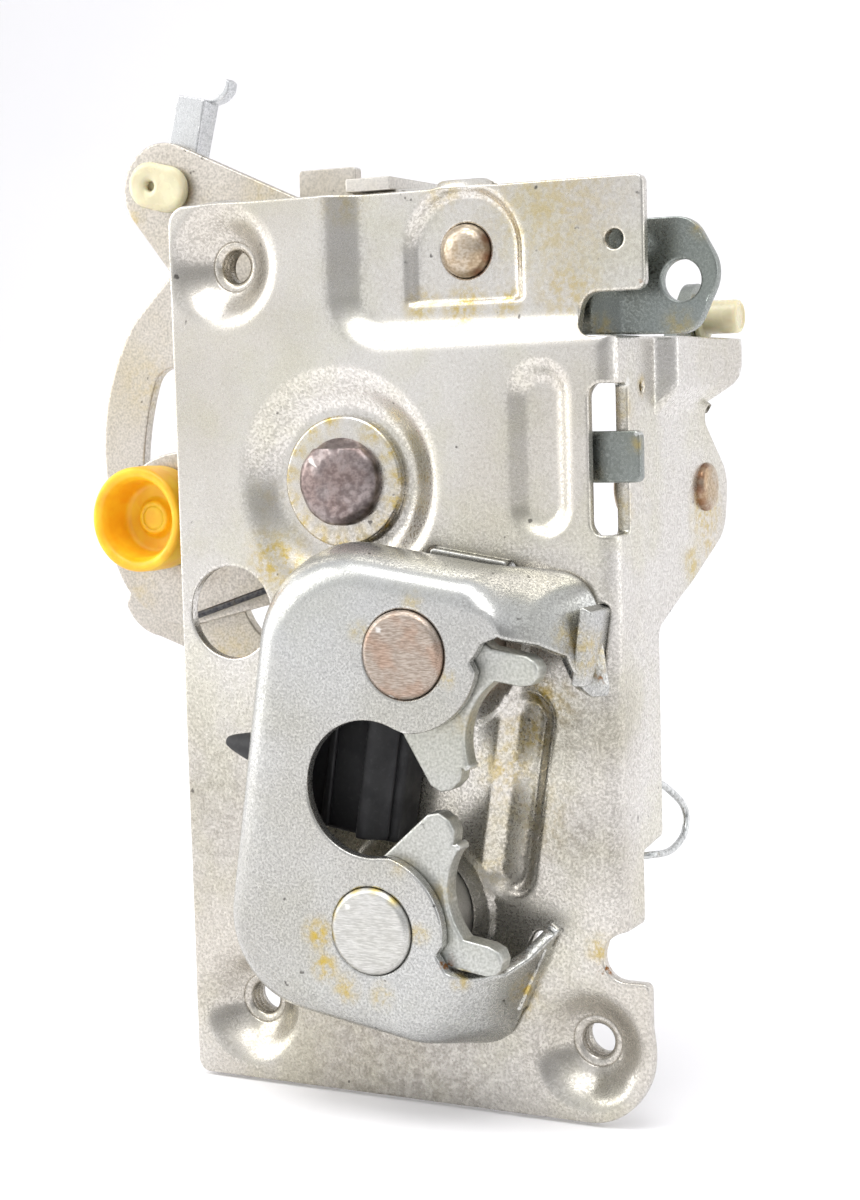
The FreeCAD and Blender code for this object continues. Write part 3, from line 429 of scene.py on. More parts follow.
def coil(centre, first, last, radius, wire, axis="y", start=0.0, legs=((), ())):
    """Path of a wound spring with straight or bent legs."""
    turns = (last - first - 2 * wire) / (2 * wire + 0.12)
    angles = np.radians(start) + np.linspace(0, 2 * math.pi * turns, int(40 * turns))
    level = np.linspace(first + wire, last - wire, len(angles))
    across, up = centre[0] + radius * np.cos(angles), centre[1] + radius * np.sin(angles)
    middle = np.column_stack([across, level, up] if axis == "y" else [level, across, up])
    ends = [np.array(leg, float).reshape(-1, 3) for leg in legs]
    return np.vstack([ends[0], middle, ends[1]])


def joined(*parts):
    """Several closed meshes as one."""
    verts, polygons, offset = [], [], 0
    for part_verts, part_polygons in parts:
        verts.append(part_verts)
        polygons += [[i + offset for i in polygon] for polygon in part_polygons]
        offset += len(part_verts)
    return np.vstack(verts), polygons


MOUTH_CENTRE = (43.7, 50.0)
MOUTH_TILT = 9.0


def to_mouth(points):
    """Mouth frame to the face plate's datum: lean clockwise about the mouth's centre."""
    tilt = math.radians(MOUTH_TILT)
    out = np.array(points, float)
    across, up = out[:, 0].copy(), out[:, -1].copy()
    out[:, 0] = MOUTH_CENTRE[0] + across * math.cos(tilt) + up * math.sin(tilt)
    out[:, -1] = MOUTH_CENTRE[1] - across * math.sin(tilt) + up * math.cos(tilt)
    return out


def mouth_point(across, up):
    """One point of the mouth frame on the plate's datum."""
    return tuple(to_mouth([(across, up)])[0])


def mouth_stains(channel, rows):
    """Stain marks of one channel, from rows of (across, y, up, radius, strength) in the mouth frame."""
    return [mouth_mark(across, y, up, radius, channel, strength) for across, y, up, radius, strength in rows]


def mouth_mark(across, y, up, radius, channel, strength):
    """Stain mark given in the mouth frame."""
    x, z = mouth_point(across, up)
    return ((x, y, z), radius, channel, strength)


def piece(name, mesh, material, body, replaces=(), marks=None, lean=False):
    """Blender object of a mesh, riding on its body."""
    verts, polygons = mesh
    if lean:
        verts = to_mouth(verts)
    data = bpy.data.meshes.new(name)
    data.from_pydata(((verts * MM) + DATUM).tolist(), [], polygons)
    data.update()
    data.polygons.foreach_set("use_smooth", [True] * len(data.polygons))
    if marks:
        attribute = data.attributes.new("marks", "FLOAT_COLOR", "POINT")
        attribute.data.foreach_set("color", painted(verts, marks).ravel())
    data.materials.append(material)
    obj = bpy.data.objects.new(name, data)
    bpy.context.scene.collection.objects.link(obj)
    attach(obj, body)
    if replaces:
        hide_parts(*replaces)
    return obj


# Channels of the stain masks: yellow passivate, rust, and dark grime. On the face plate the dark channel also
# darkens the lower part and the left middle, and paints the cover's shade as a reflection right of the mouth
# rib.
YELLOW, RUST, GRIME_AND_PAINTED_SHADE = 0, 1, 2


def painted(verts, marks):
    """Stain, grime and painted-shade masks per vertex, from marks of (centre, radius, channel, strength)."""
    colour = np.zeros((len(verts), 4), np.float32)
    colour[:, 3] = 1
    for centre, radius, channel, strength in marks:
        gap = np.linalg.norm(verts - np.array(centre, float), axis=1) / radius
        colour[:, channel] = np.maximum(colour[:, channel], strength * smooth(1.0 - gap))
    return colour


def stain_and_shade_marks(channel, rows):
    """Stain, grime and painted-shade marks of one channel, from rows of (x, y, z, radius, strength)."""
    return [((x, y, z), radius, channel, strength) for x, y, z, radius, strength in rows]


# ------------------------------------------------------------------ materials

class Graph:
    """Short-hand for building one node material."""

    def __init__(self, name):
        self.material = bpy.data.materials.new(name)
        self.material.use_nodes = True
        self.tree = self.material.node_tree
        self.shader = self.tree.nodes["Principled BSDF"]
        self.place = self.tree.nodes.new("ShaderNodeTexCoord").outputs["Object"]

    def link(self, source, socket):
        self.tree.links.new(source, socket)

    def set(self, **values):
        for key, value in values.items():
            self.shader.inputs[key.replace("_", " ")].default_value = value

    def noise(self, scale, detail=3.0, rough=0.55, stretch=None):
        node = self.tree.nodes.new("ShaderNodeTexNoise")
        node.inputs["Scale"].default_value = scale
        node.inputs["Detail"].default_value = detail
        node.inputs["Roughness"].default_value = rough
        place = self.place
        if stretch:
            mapping = self.tree.nodes.new("ShaderNodeMapping")
            mapping.inputs["Rotation"].default_value = stretch[1]
            mapping.inputs["Scale"].default_value = stretch[0]
            self.link(place, mapping.inputs["Vector"])
            place = mapping.outputs["Vector"]
        self.link(place, node.inputs["Vector"])
        return node.outputs["Fac"]

    def cells(self, scale):
        node = self.tree.nodes.new("ShaderNodeTexVoronoi")
        node.inputs["Scale"].default_value = scale
        self.link(self.place, node.inputs["Vector"])
        return node

    def span(self, value, low, high, to_low=0.0, to_high=1.0):
        node = self.tree.nodes.new("ShaderNodeMapRange")
        node.interpolation_type = "SMOOTHSTEP"
        for key, number in zip(("From Min", "From Max", "To Min", "To Max"), (low, high, to_low, to_high)):
            node.inputs[key].default_value = number
        self.link(value, node.inputs["Value"])
        return node.outputs["Result"]

    def math(self, operation, a, b):
        node = self.tree.nodes.new("ShaderNodeMath")
        node.operation = operation
        for socket, value in zip(node.inputs, (a, b)):
            if isinstance(value, (int, float)):
                socket.default_value = value
            else:
                self.link(value, socket)
        return node.outputs[0]

    def mix(self, factor, a, b, blend="MIX"):
        node = self.tree.nodes.new("ShaderNodeMix")
        node.data_type = "RGBA"
        node.blend_type = blend
        sockets = (node.inputs[0], node.inputs[6], node.inputs[7])
        for socket, value in zip(sockets, (factor, a, b)):
            if isinstance(value, (int, float)):
                socket.default_value = value
            elif isinstance(value, tuple):
                socket.default_value = (*value, 1.0)
            else:
                self.link(value, socket)
        return node.outputs[2]

    def edges(self, low=0.52, high=0.62):
        """Mask of convex edges from the mesh itself."""
        return self.span(self.tree.nodes.new("ShaderNodeNewGeometry").outputs["Pointiness"], low, high)

    def marks(self):
        node = self.tree.nodes.new("ShaderNodeAttribute")
        node.attribute_name = "marks"
        split = self.tree.nodes.new("ShaderNodeSeparateColor")
        self.link(node.outputs["Color"], split.inputs["Color"])
        return split.outputs

    def colour(self, value):
        self.link(value, self.shader.inputs["Base Color"])

    def roughness(self, value):
        self.link(value, self.shader.inputs["Roughness"])

    def bump(self, height, strength, distance):
        node = self.tree.nodes.new("ShaderNodeBump")
        node.inputs["Strength"].default_value = strength
        node.inputs["Distance"].default_value = distance
        self.link(height, node.inputs["Height"])
        self.link(node.outputs["Normal"], self.shader.inputs["Normal"])


def zinc(name, light, dark, tint, rough=(0.20, 0.38), grain=2500.0, contrast=1.0, relief=0.3, yellow=0.35,
        metal=0.92):
    """Zinc plate: speckled grain, faint passivate tint, stains, grime and painted shade from the marks, dark
    pin specks and worn edges.
    """
    g = Graph(name)
    grain_noise = g.noise(grain, 2.0, 0.6)
    crystal = g.cells(grain * 1.25)
    speckle = g.math("MULTIPLY", g.span(grain_noise, 0.5 - 0.16 / contrast, 0.5 + 0.16 / contrast), 0.6)
    speckle = g.math("ADD", speckle, g.math("MULTIPLY", crystal.outputs["Color"], 0.4))
    base = g.mix(speckle, dark, light)
    patches = g.span(g.noise(70.0, 4.0), 0.42, 0.66)
    base = g.mix(g.math("MULTIPLY", patches, yellow), base, tint, "MULTIPLY")
    drift = g.span(g.noise(24.0, 3.0), 0.38, 0.62)
    base = g.mix(g.math("MULTIPLY", drift, 0.55), base, (0.80, 0.765, 0.70), "MULTIPLY")
    stain, rust, grime_and_shade = (g.marks()[i] for i in range(3))
    blot = g.span(g.noise(650.0, 5.0, 0.65), 0.40, 0.62)
    base = g.mix(g.math("MULTIPLY", stain, g.math("ADD", g.math("MULTIPLY", blot, 0.8), 0.16)),
                 base, (0.50, 0.35, 0.03))
    # Dark brown from the third mark channel. It is real grime, and on the face plate it also holds the
    # darkening of the lower part and left middle and a painted reflection of the cover's shade right of the
    # mouth rib.
    base = g.mix(g.math("MULTIPLY", grime_and_shade, g.math("ADD", g.math("MULTIPLY", blot, 0.5), 0.5)),
                 base, (0.055, 0.04, 0.02))
    rusty = g.span(g.math("MULTIPLY", rust, g.math("ADD", blot, 0.4)), 0.5, 0.95)
    base = g.mix(rusty, base, (0.27, 0.12, 0.035))
    pits = g.span(g.noise(520.0, 2.0, 0.5), 0.73, 0.78)
    base = g.mix(g.math("MULTIPLY", pits, 0.75), base, (0.05, 0.045, 0.04))
    base = g.mix(g.math("MULTIPLY", g.edges(), 0.5), base, (0.86, 0.86, 0.84))
    g.colour(base)
    smear = g.noise(55.0, 3.0)
    finish = g.math("ADD", g.span(speckle, 0.1, 0.9, rough[1], rough[0]),
                    g.math("MULTIPLY", g.math("SUBTRACT", smear, 0.5), 0.18))
    g.roughness(g.math("MAXIMUM", g.math("ADD", finish, g.math("MULTIPLY", rusty, 0.35)), 0.12))
    g.bump(grain_noise, relief, 0.00004)
    g.set(Metallic=metal)
    return g.material


def turned_steel(name, light, dark, angle, tarnish, scale=2600.0, stretch=0.12):
    """Cut steel face: parallel scratches, tarnish blotches and a worn bright rim."""
    g = Graph(name)
    strokes = g.noise(scale, 3.0, 0.6, ((stretch, 1.0, 1.0), (0.0, angle, 0.0)))
    crossed = g.noise(scale * 0.8, 2.0, 0.6, ((stretch, 1.0, 1.0), (0.0, angle + 1.2, 0.0)))
    lines = g.math("ADD", g.math("MULTIPLY", strokes, 0.7), g.math("MULTIPLY", crossed, 0.3))
    base = g.mix(g.span(lines, 0.38, 0.62), dark, light)
    blot = g.span(g.noise(240.0, 4.0), 0.42, 0.64)
    base = g.mix(g.math("MULTIPLY", blot, 0.7), base, tarnish, "MULTIPLY")
    stain, rust, grime_and_shade = (g.marks()[i] for i in range(3))
    base = g.mix(stain, base, (0.55, 0.42, 0.08))
    base = g.mix(rust, base, (0.22, 0.09, 0.04))
    base = g.mix(grime_and_shade, base, (0.05, 0.04, 0.03))
    g.colour(g.mix(g.math("MULTIPLY", g.edges(), 0.6), base, (0.9, 0.89, 0.86)))
    g.roughness(g.span(lines, 0.3, 0.7, 0.5, 0.26))
    g.bump(lines, 0.35, 0.00003)
    g.set(Metallic=0.95)
    return g.material


def plastic(name, outer, deep, rough, glow):
    """Moulded plastic: faint cloudiness, fine moulding marks and a little depth."""
    g = Graph(name)
    cloud = g.span(g.noise(190.0, 4.0), 0.35, 0.68)
    base = g.mix(cloud, deep, outer)
    scuff = g.span(g.noise(1500.0, 4.0, 0.7), 0.66, 0.74)
    base = g.mix(g.math("MULTIPLY", scuff, 0.25), base, tuple(min(1.0, c * 1.25) for c in outer))
    g.colour(base)
    g.roughness(g.span(g.noise(420.0, 3.0), 0.3, 0.7, rough - 0.08, rough + 0.1))
    g.bump(g.noise(900.0, 4.0), 0.12, 0.00005)
    g.set(Metallic=0.0, Subsurface_Weight=glow, Subsurface_Scale=0.003, Subsurface_Radius=(1.0, 0.55, 0.2))
    return g.material


def rubber(name):
    """Matte black rubber with a fine dusty bloom."""
    g = Graph(name)
    dust = g.span(g.noise(1400.0, 5.0, 0.7), 0.5, 0.78)
    base = g.mix(g.math("MULTIPLY", dust, 0.35), (0.006, 0.006, 0.007), (0.05, 0.05, 0.052))
    g.colour(g.mix(g.math("MULTIPLY", g.edges(), 0.3), base, (0.07, 0.07, 0.07)))
    g.roughness(g.span(g.noise(300.0, 3.0), 0.3, 0.7, 0.5, 0.72))
    g.bump(g.noise(2100.0, 4.0), 0.3, 0.00005)
    g.set(Metallic=0.0)
    return g.material


def wire_metal(name, light, dark, rough):
    """Drawn wire: fine lines along its length and dull spots."""
    g = Graph(name)
    streaks = g.noise(1700.0, 3.0, 0.6)
    base = g.mix(g.span(streaks, 0.35, 0.65), dark, light)
    spots = g.span(g.noise(480.0, 3.0), 0.62, 0.72)
    g.colour(g.mix(g.math("MULTIPLY", spots, 0.5), base, (0.12, 0.09, 0.05)))
    g.roughness(g.span(streaks, 0.3, 0.7, rough, rough + 0.2))
    g.bump(streaks, 0.15, 0.00003)
    g.set(Metallic=0.95)
    return g.material


PLATE_ZINC = zinc("plate_zinc", (0.80, 0.775, 0.73), (0.47, 0.45, 0.42), (0.90, 0.90, 0.70))
COVER_ZINC = zinc("cover_zinc", (0.64, 0.645, 0.63), (0.33, 0.33, 0.325), (0.93, 0.93, 0.84), grain=3000.0)
CLAW_ZINC = zinc("claw_zinc", (0.64, 0.655, 0.64), (0.42, 0.43, 0.41), (0.94, 0.94, 0.82), rough=(0.3, 0.5),
    relief=0.4)
LEVER_ZINC = zinc("lever_zinc", (0.64, 0.60, 0.54), (0.38, 0.355, 0.32), (0.90, 0.85, 0.66), rough=(0.3, 0.5))
DARK_ZINC = zinc("release_zinc", (0.30, 0.325, 0.31), (0.20, 0.22, 0.21), (0.93, 0.93, 0.82),
    rough=(0.22, 0.4), relief=0.15)
STUD_STEEL = turned_steel("stud_steel", (0.36, 0.31, 0.30), (0.19, 0.155, 0.15), 0.4, (0.85, 0.74, 0.7),
    1100.0, 0.8)
PIN_STEEL = turned_steel("pin_steel", (0.56, 0.49, 0.40), (0.38, 0.31, 0.23), 0.2, (0.95, 0.82, 0.62),
    2600.0, 0.7)
UPPER_END = turned_steel("upper_spindle_steel", (0.50, 0.43, 0.37), (0.30, 0.245, 0.20), 0.9,
    (0.95, 0.76, 0.66), 6500.0, 0.16)
LOWER_END = turned_steel("lower_spindle_steel", (0.64, 0.635, 0.61), (0.47, 0.465, 0.44), -0.35,
    (0.95, 0.95, 0.93), 7000.0)
SPRING_WIRE = wire_metal("spring_wire", (0.66, 0.67, 0.66), (0.42, 0.43, 0.42), 0.22)
DARK_WIRE = wire_metal("dark_wire", (0.10, 0.10, 0.10), (0.04, 0.04, 0.045), 0.4)
BLACK_RUBBER = rubber("black_rubber")
AMBER = plastic("amber_plastic", (0.92, 0.60, 0.025), (0.84, 0.43, 0.01), 0.38, 0.3)
CREAM = plastic("cream_plastic", (0.74, 0.69, 0.47), (0.62, 0.57, 0.38), 0.24, 0.3)


# ------------------------------------------------------------------ the face plate

MAIN_STUD = (28.8, 94.2)
TOP_PIN = (49.0, 127.8)
ROLLER = (-12.0, 88.2)
SIDE_RIVET = (36.7, 91.5)
ROD_PIN = (43.6, 118.0)
CLAW_OFFSET = 20.5
UPPER_PIVOT = mouth_point(0, CLAW_OFFSET)
LOWER_PIVOT = mouth_point(0, -CLAW_OFFSET)
STUD_BORE = 5.06
SCREWS = ((9.4, 127.5), (10.2, 11.8), (67.6, 11.2))
BEND_START, BEND_RADIUS = 70.4, 3.1
FLANGE_SHIFT = BEND_START + BEND_RADIUS * math.pi / 2 - BEND_RADIUS
UPPER_RIB = ((62.1, 90.6), (62.1, 106.4))
MOUTH_RIB = (mouth_point(14.0, 11.8), mouth_point(14.0, -11.2))
BULGE = 3.0


def flange(y, z, radius):
    """Outline corner given by its depth on the side flange."""
    return (y + FLANGE_SHIFT, z, radius)


def distance_to_segment(p, start, end):
    start, end = np.array(start), np.array(end)
    along = end - start
    share = np.clip(((p - start) @ along) / (along @ along), 0, 1)
    return np.linalg.norm(p - start - share[:, None] * along, axis=1)


def corner_inside(a, b, radius):
    """Distance inside a rounded corner whose sides are a = 0 and b = 0."""
    plain = np.minimum(a, b)
    curved = radius - np.hypot(radius - a, radius - b)
    return np.where((a < radius) & (b < radius), curved, plain)


def plate_depth(p):
    """How far each point of the pressed sheet is formed behind its front plane."""
    x, z = p.T
    depth = 3.0 * smooth((corner_inside(x - 27.4, z - 113.2, 9.0) + 0.2) / 5.6)
    side = np.where(z < 127.8, 8.3 - np.abs(x - 49.2), 8.3 - np.hypot(x - 49.2, z - 127.8))
    depth += 1.6 * smooth((side + 1.6) / 2.0) * smooth((z - 120.15) / 0.35)
    depth += 3.0 * smooth((17.6 - np.hypot(x - MAIN_STUD[0], z - MAIN_STUD[1])) / 6.4)
    for centre in SCREWS:
        reach = np.hypot(x - centre[0], z - centre[1])
        depth += 4.2 * smooth((10.2 - reach) / 7.2) ** 1.15
    for rib, outer_half, inner_half in ((UPPER_RIB, 5.4, 2.0), (MOUTH_RIB, 4.6, 1.9)):
        gap = distance_to_segment(p, *rib)
        depth += 1.5 * smooth((outer_half - gap) / (outer_half - inner_half))
    for pivot in (UPPER_PIVOT, LOWER_PIVOT):
        reach = np.hypot(x - pivot[0], z - pivot[1])
        depth -= 0.55 * smooth((12.75 - reach) / 0.45)
    return depth + 0.05 * np.sin(x * 0.11 + 1.0) * np.sin(z * 0.083)


def flange_depth(p):
    """Outward bulge and slanted ear of the side flange, negative outwards."""
    y, z = p[:, 0] - FLANGE_SHIFT, p[:, 1]
    left = np.clip((y - 16.8) / 1.9, 0, 1)
    bottom = np.clip((z - 102.8 - 0.02 * (y - 17)) / 4.2, 0, 1)
    rise = np.minimum(smooth(left), 0.5 * (smooth(bottom) + bottom))
    crease = y - 21.5 - 0.22 * (103.0 - z)
    ear = 0.055 * np.clip(crease, 0, None) * (z < 104.5) * smooth((z - 66) / 8)
    return -BULGE * rise - ear


def lift_plate(p):
    """Pressed and bent shape of the flat blank."""
    x, z = p.T
    bent = (z > 25) & (z < 117.8)
    over = np.where(bent, np.clip(x - BEND_START, 0, None), 0)
    angle = np.clip(over / BEND_RADIUS, 0, math.pi / 2)
    run = np.clip(over - BEND_RADIUS * math.pi / 2, 0, None)
    fade = 1 - smooth((over - 0.5) / 3)
    depth = plate_depth(p) * fade + flange_depth(p) * (run > 0)
    across = np.where(bent, np.minimum(x, BEND_START), x) + BEND_RADIUS * np.sin(angle)
    back = BEND_RADIUS * (1 - np.cos(angle)) + run
    return np.column_stack([across - depth * np.sin(angle), back + depth * np.cos(angle), z])


def threaded_collar(centre, floor):
    """Drawn collar behind a screw dimple with the crests of its thread."""
    crest, root, pitch = 2.5, 2.95, 1.0
    profile = [(3.9, floor - 0.05), (3.3, floor), (2.75, floor + 0.35)]
    level = floor + 0.6
    while level < floor + 4.3:
        profile += [(crest, level), (crest, level + 0.15), (root, level + 0.45), (root, level + 0.6)]
        level += pitch
    profile += [(2.9, floor + 4.9), (3.4, floor + 5.0), (4.1, floor + 5.0), (4.4, floor + 4.6),
        (4.4, floor + 1.5)]
    return lathe(profile[::-1], centre, closed=True)


def make_face_plate():
    outline = rounded([
        (0, 0, 2), (77.5, 0, 10), (77.5, 21.6, 1), (70.4, 21.6, 3.3), (70.4, 28.4, 3.3),
        flange(9.4, 28.4, 1), flange(9.4, 39.0, 0.6), flange(17.2, 40.0, 1), flange(17.2, 71.2, 2),
        flange(30.5, 76.6, 4), flange(44.6, 84.0, 6), flange(46.0, 93.0, 6), flange(36.6, 101.5, 2),
        flange(36.6, 104.2, 1), flange(48.2, 109.0, 3), flange(48.2, 114.6, 0.6),
        (67.6, 114.6, 2.9), (67.6, 120.8, 2.9), (77.5, 120.8, 1.5), (77.5, 137, 1.2), (0, 137, 3),
    ])
    holes = [circle((9.0, 74.1), 7.2), circle((73.0, 128.1), 1.4, 0.25),
        circle((11.6 + FLANGE_SHIFT, 107.2), 0.7, 0.15)]
    holes += [circle(UPPER_PIVOT, 9.36), circle(LOWER_PIVOT, 9.36), circle(MAIN_STUD, 6.0),
        circle(TOP_PIN, 4.05, 0.4)]
    holes += [circle(centre, 3.6, 0.35) for centre in SCREWS]
    holes += [rounded([(69.7, 86.2, 2), flange(6.0, 86.2, 0.8), flange(6.0, 107.8, 0.8), (69.7, 107.8, 2)],
        0.45)]
    holes += [slot(mouth_point(-4.0, 33.0), mouth_point(8.0, 33.0), 1.15, 0.4)]
    holes += [slot(mouth_point(23.4, 20.6), mouth_point(23.4, 29.2), 1.3, 0.4)]
    holes += [slot(mouth_point(20.5, -20.4), mouth_point(18.0, -30.2), 1.4, 0.4)]
    features = [slot(*UPPER_RIB, 2.05, 0.4), slot(*MOUTH_RIB, 1.95, 0.4), circle(MAIN_STUD, 11.2)]
    features += [circle(pivot, radius) for pivot in (UPPER_PIVOT, LOWER_PIVOT) for radius in (12.25, 12.8)]
    features += [rectangle((40.9, 120.1), (57.5, 120.55), 0, 0.4)]
    features += [rounded([flange(16.8, 102.9, 0), flange(36.2, 102.9, 0), flange(36.2, 104.9, 0),
        flange(18.7, 104.9, 0)], 0.5)]
    body = sheet(outline, holes, lift_plate, spacing=0.62, features=features, edge=0.35)
    collars = [threaded_collar(centre, 4.2) for centre in SCREWS]
    marks = (
        stain_and_shade_marks(YELLOW, [
            (17.5, 0, 82.5, 7.5, 0.95), (23.0, 1, 79.0, 6.0, 0.9), (36.0, 1, 80.0, 6.0, 0.9),
            (16.5, 0, 92.0, 4.5, 0.45), (63.0, 3, 133.0, 17.0, 0.42), (66.0, 3, 121.5, 8.0, 0.55),
            (42.0, 4, 120.0, 4.0, 0.9), (49.0, 4, 119.6, 5.0, 1.0), (56.0, 4, 120.0, 4.0, 0.9),
            (57.5, 4, 131.0, 4.5, 0.5), (31.0, 0, 136.5, 6.0, 0.5), (46.0, 3, 136.8, 5.0, 0.5),
            (9.4, 4, 127.5, 4.0, 0.8), (59.0, 0, 57.0, 6.0, 0.9), (61.5, 0, 62.5, 4.5, 1.0),
            (55.5, 0, 52.0, 6.5, 0.7), (59.0, 0, 46.0, 10.0, 0.35), (64.0, 0, 62.0, 5.0, 0.5),
            (53.0, 0, 37.0, 5.0, 0.4), (69.0, 0, 70.0, 3.5, 0.9), (57.0, 0, 18.0, 4.5, 0.9),
            (70.0, 1, 26.0, 3.4, 1.0), (73.5, 36.5, 88.0, 8.5, 0.9), (73.5, 31.0, 80.0, 4.5, 0.8),
            (73.5, 37.5, 83.0, 4.5, 0.7), (73.5, 11.6, 107.2, 2.4, 1.0), (72.0, 5.6, 97.0, 3.5, 0.45),
            (72.0, 5.6, 104.0, 4.0, 0.45), (72.0, 5.6, 90.0, 4.0, 0.45), (36.0, 0, 84.5, 4.0, 0.5),
        ])
        + stain_and_shade_marks(RUST, [
            (73.0, 4, 128.1, 3.2, 1.0), (76.6, 3, 121.6, 1.6, 0.9), (77, 3, 134, 1.8, 0.6),
            (67.6, 0, 66.0, 3.5, 0.7), (58.5, 0, 22.0, 3.0, 0.5), (70.4, 1, 23.5, 3.6, 0.9),
            (73.5, 36.7, 91.5, 6.2, 0.75),
        ])
        # The small mark at (55, 20) is grime. The wide marks at the bottom and the left middle only darken
        # the plate there. The mark at (66, 60) is a painted reflection of the cover's shade right of the
        # mouth rib, and the mark at (67, 42) darkens that side further down.
        + stain_and_shade_marks(GRIME_AND_PAINTED_SHADE, [
            (55.0, 0, 20.0, 3.0, 0.7), (38.0, 0, 2.0, 44.0, 0.5), (5.0, 0, 44.0, 26.0, 0.36),
            (66.0, 0, 60.0, 15.0, 0.5), (67.0, 0, 42.0, 12.0, 0.45),
        ])
    )
    piece("pressed_face_plate", joined(body, *collars), PLATE_ZINC, "frame", ["face_plate"],
        marks)


# ------------------------------------------------------------------ the claw cover

RISE = 15.0
COVER_BASE = [
    (-27.6, -38.0, 15), (17.5, -38.0, 6), (24.0, -17.0, 3), (26.6, 19.0, 3), (21.8, 34.6, 7),
    (-27.6, 34.6, 17),
]
COVER_FLAT = [
    (-19.2, -31.2, 10), (11.0, -31.2, 7), (15.5, -17.0, 3), (16.6, 19.0, 3), (13.6, 28.6, 4),
    (-19.2, 28.6, 11),
]


def lift_cover(base, flat):
    """Drawn shape over the cover's plan: round shoulders at the left, a sloped wall at the right."""
    def lift(p):
        from_base = depth_inside(p, base)
        from_flat = depth_inside(p, flat)
        share = np.clip(from_base / np.maximum(from_base - from_flat, 1e-6), 0, 1)
        share = np.where(from_flat > 0, 1.0, share)
        round_wall = (1 - (1 - share) ** 2.5) ** (1 / 2.5)
        bulge = (1 - (1 - share) ** 1.45) ** (1 / 1.12)
        sloped_wall = np.minimum(smooth(share * 0.5) * 2, 1) * 0.12 + 0.88 * bulge
        weight = smooth((p[:, 0] - 7) / 9)
        rise = round_wall * (1 - weight) + sloped_wall * weight
        return np.column_stack([p[:, 0], -RISE * np.clip(rise, 0, 1), p[:, 1]])
    return lift


def make_claw_cover():
    base, flat = rounded(COVER_BASE, 0.5), rounded(COVER_FLAT, 0.5)
    upper, lower = np.array([0, CLAW_OFFSET]), np.array([0, -CLAW_OFFSET])

    def lobe(pivot, *degrees):
        return [(pivot[0] + 11.4 * math.cos(math.radians(d)), pivot[1] + 11.4 * math.sin(math.radians(d)))
            for d in degrees]

    relief = arc((-3.3, 0), 10.0, 72, 288)
    mouth = np.vstack([
        [(40, 17.6), (24.8, 17.6), (23.6, 19.4), (21.6, 23.4), (18.6, 24.9), (14.2, 25.6), (11.8, 24.2),
            (10.4, 21.4)],
        lobe(upper, *np.arange(-2, -84, -5)), relief, lobe(lower, *np.arange(83, 2, -5)),
        [(10.6, -21.6), (12.4, -23.6), (15.4, -24.4), (18.4, -24.2), (20.6, -22.0), (22.6, -18.8),
            (24.8, -16.6), (40, -16.6)],
    ])
    mouth = divided(mouth[::-1] if area(mouth) > 0 else mouth, 0.5)
    outline = cut_by(base, mouth)
    holes = [circle(pivot, 6.51, 0.4) for pivot in (upper, lower)]
    shell = sheet(outline, holes, lift_cover(base, flat), spacing=0.5, edge=0.35)
    wings = [
        wing([(22.4, 19.0), (24.6, 19.4), (24.2, 30.0), (22.2, 30.6)], -6.0),
        wing([(16.6, -31.0), (19.4, -31.0), (22.4, -20.6), (20.0, -19.8)], -2.2),
        wing([(-4.2, 31.9), (8.2, 31.9), (8.2, 34.2), (-4.2, 34.2)], -1.5),
    ]
    marks = (
        mouth_stains(YELLOW, [
            (-8.6, -15, -23, 3.6, 1.0), (-7.0, -15, -27.5, 3.4, 1.0), (-3.0, -15, -30.0, 3.2, 0.8),
            (3.0, -15, -29.6, 3.0, 0.6), (7.6, -15, -19, 2.4, 0.7), (-7.4, -15, 22.5, 2.4, 0.5),
            (0.5, -15, 28.2, 2.6, 0.45), (7.4, -15, 18.5, 2.2, 0.55), (14.0, -13, -24.6, 2.4, 0.9),
            (24.6, -4, 24.0, 5.0, 1.0), (21.0, -6, 26.0, 4.0, 0.6), (19.5, -2, -27, 4.4, 0.9),
            (9.4, -15, -9.5, 2.6, 0.6), (3.0, -14, -9.6, 3.0, 0.4),
        ])
        + mouth_stains(RUST, [
            (11.6, -14, -22.8, 2.2, 1.0), (25.4, -2, 20.5, 3.6, 0.6), (18.0, -2, -29.0, 2.6, 0.5),
        ])
        + mouth_stains(GRIME_AND_PAINTED_SHADE, [
            (24.4, -3, 21.0, 2.6, 0.9), (22.0, -7.5, 24.4, 2.4, 0.5), (20.4, -2, -23, 3.0, 0.8),
        ])
    )
    piece("drawn_claw_cover", joined(shell, *wings), COVER_ZINC, "frame", ["claw_cover"],
        marks, lean=True)


def cut_by(base, mouth):
    """Outline of base without the part that the mouth takes, where the mouth leaves at the right."""
    outside = ~inside(base, mouth)
    start = next(i for i in range(len(base)) if outside[i] and not outside[i - 1])
    kept = np.roll(base, -start, axis=0)
    kept = kept[:outside.sum()]
    within = inside(mouth, base)
    start = next(i for i in range(len(mouth)) if within[i] and not within[i - 1])
    bite = np.roll(mouth, -start, axis=0)[:within.sum()]
    if math.dist(kept[-1], bite[0]) > math.dist(kept[-1], bite[-1]):
        bite = bite[::-1]
    return divided(np.vstack([kept, bite]), 0.5)


def wing(corners, level):
    """Tab of the cover that goes down into its slot in the face plate."""
    return sheet(rounded([(x, z, 0.5) for x, z in corners], 0.5), (), flat_front(level), 1.8 - level, 0.25)


# ------------------------------------------------------------------ claws and turned parts

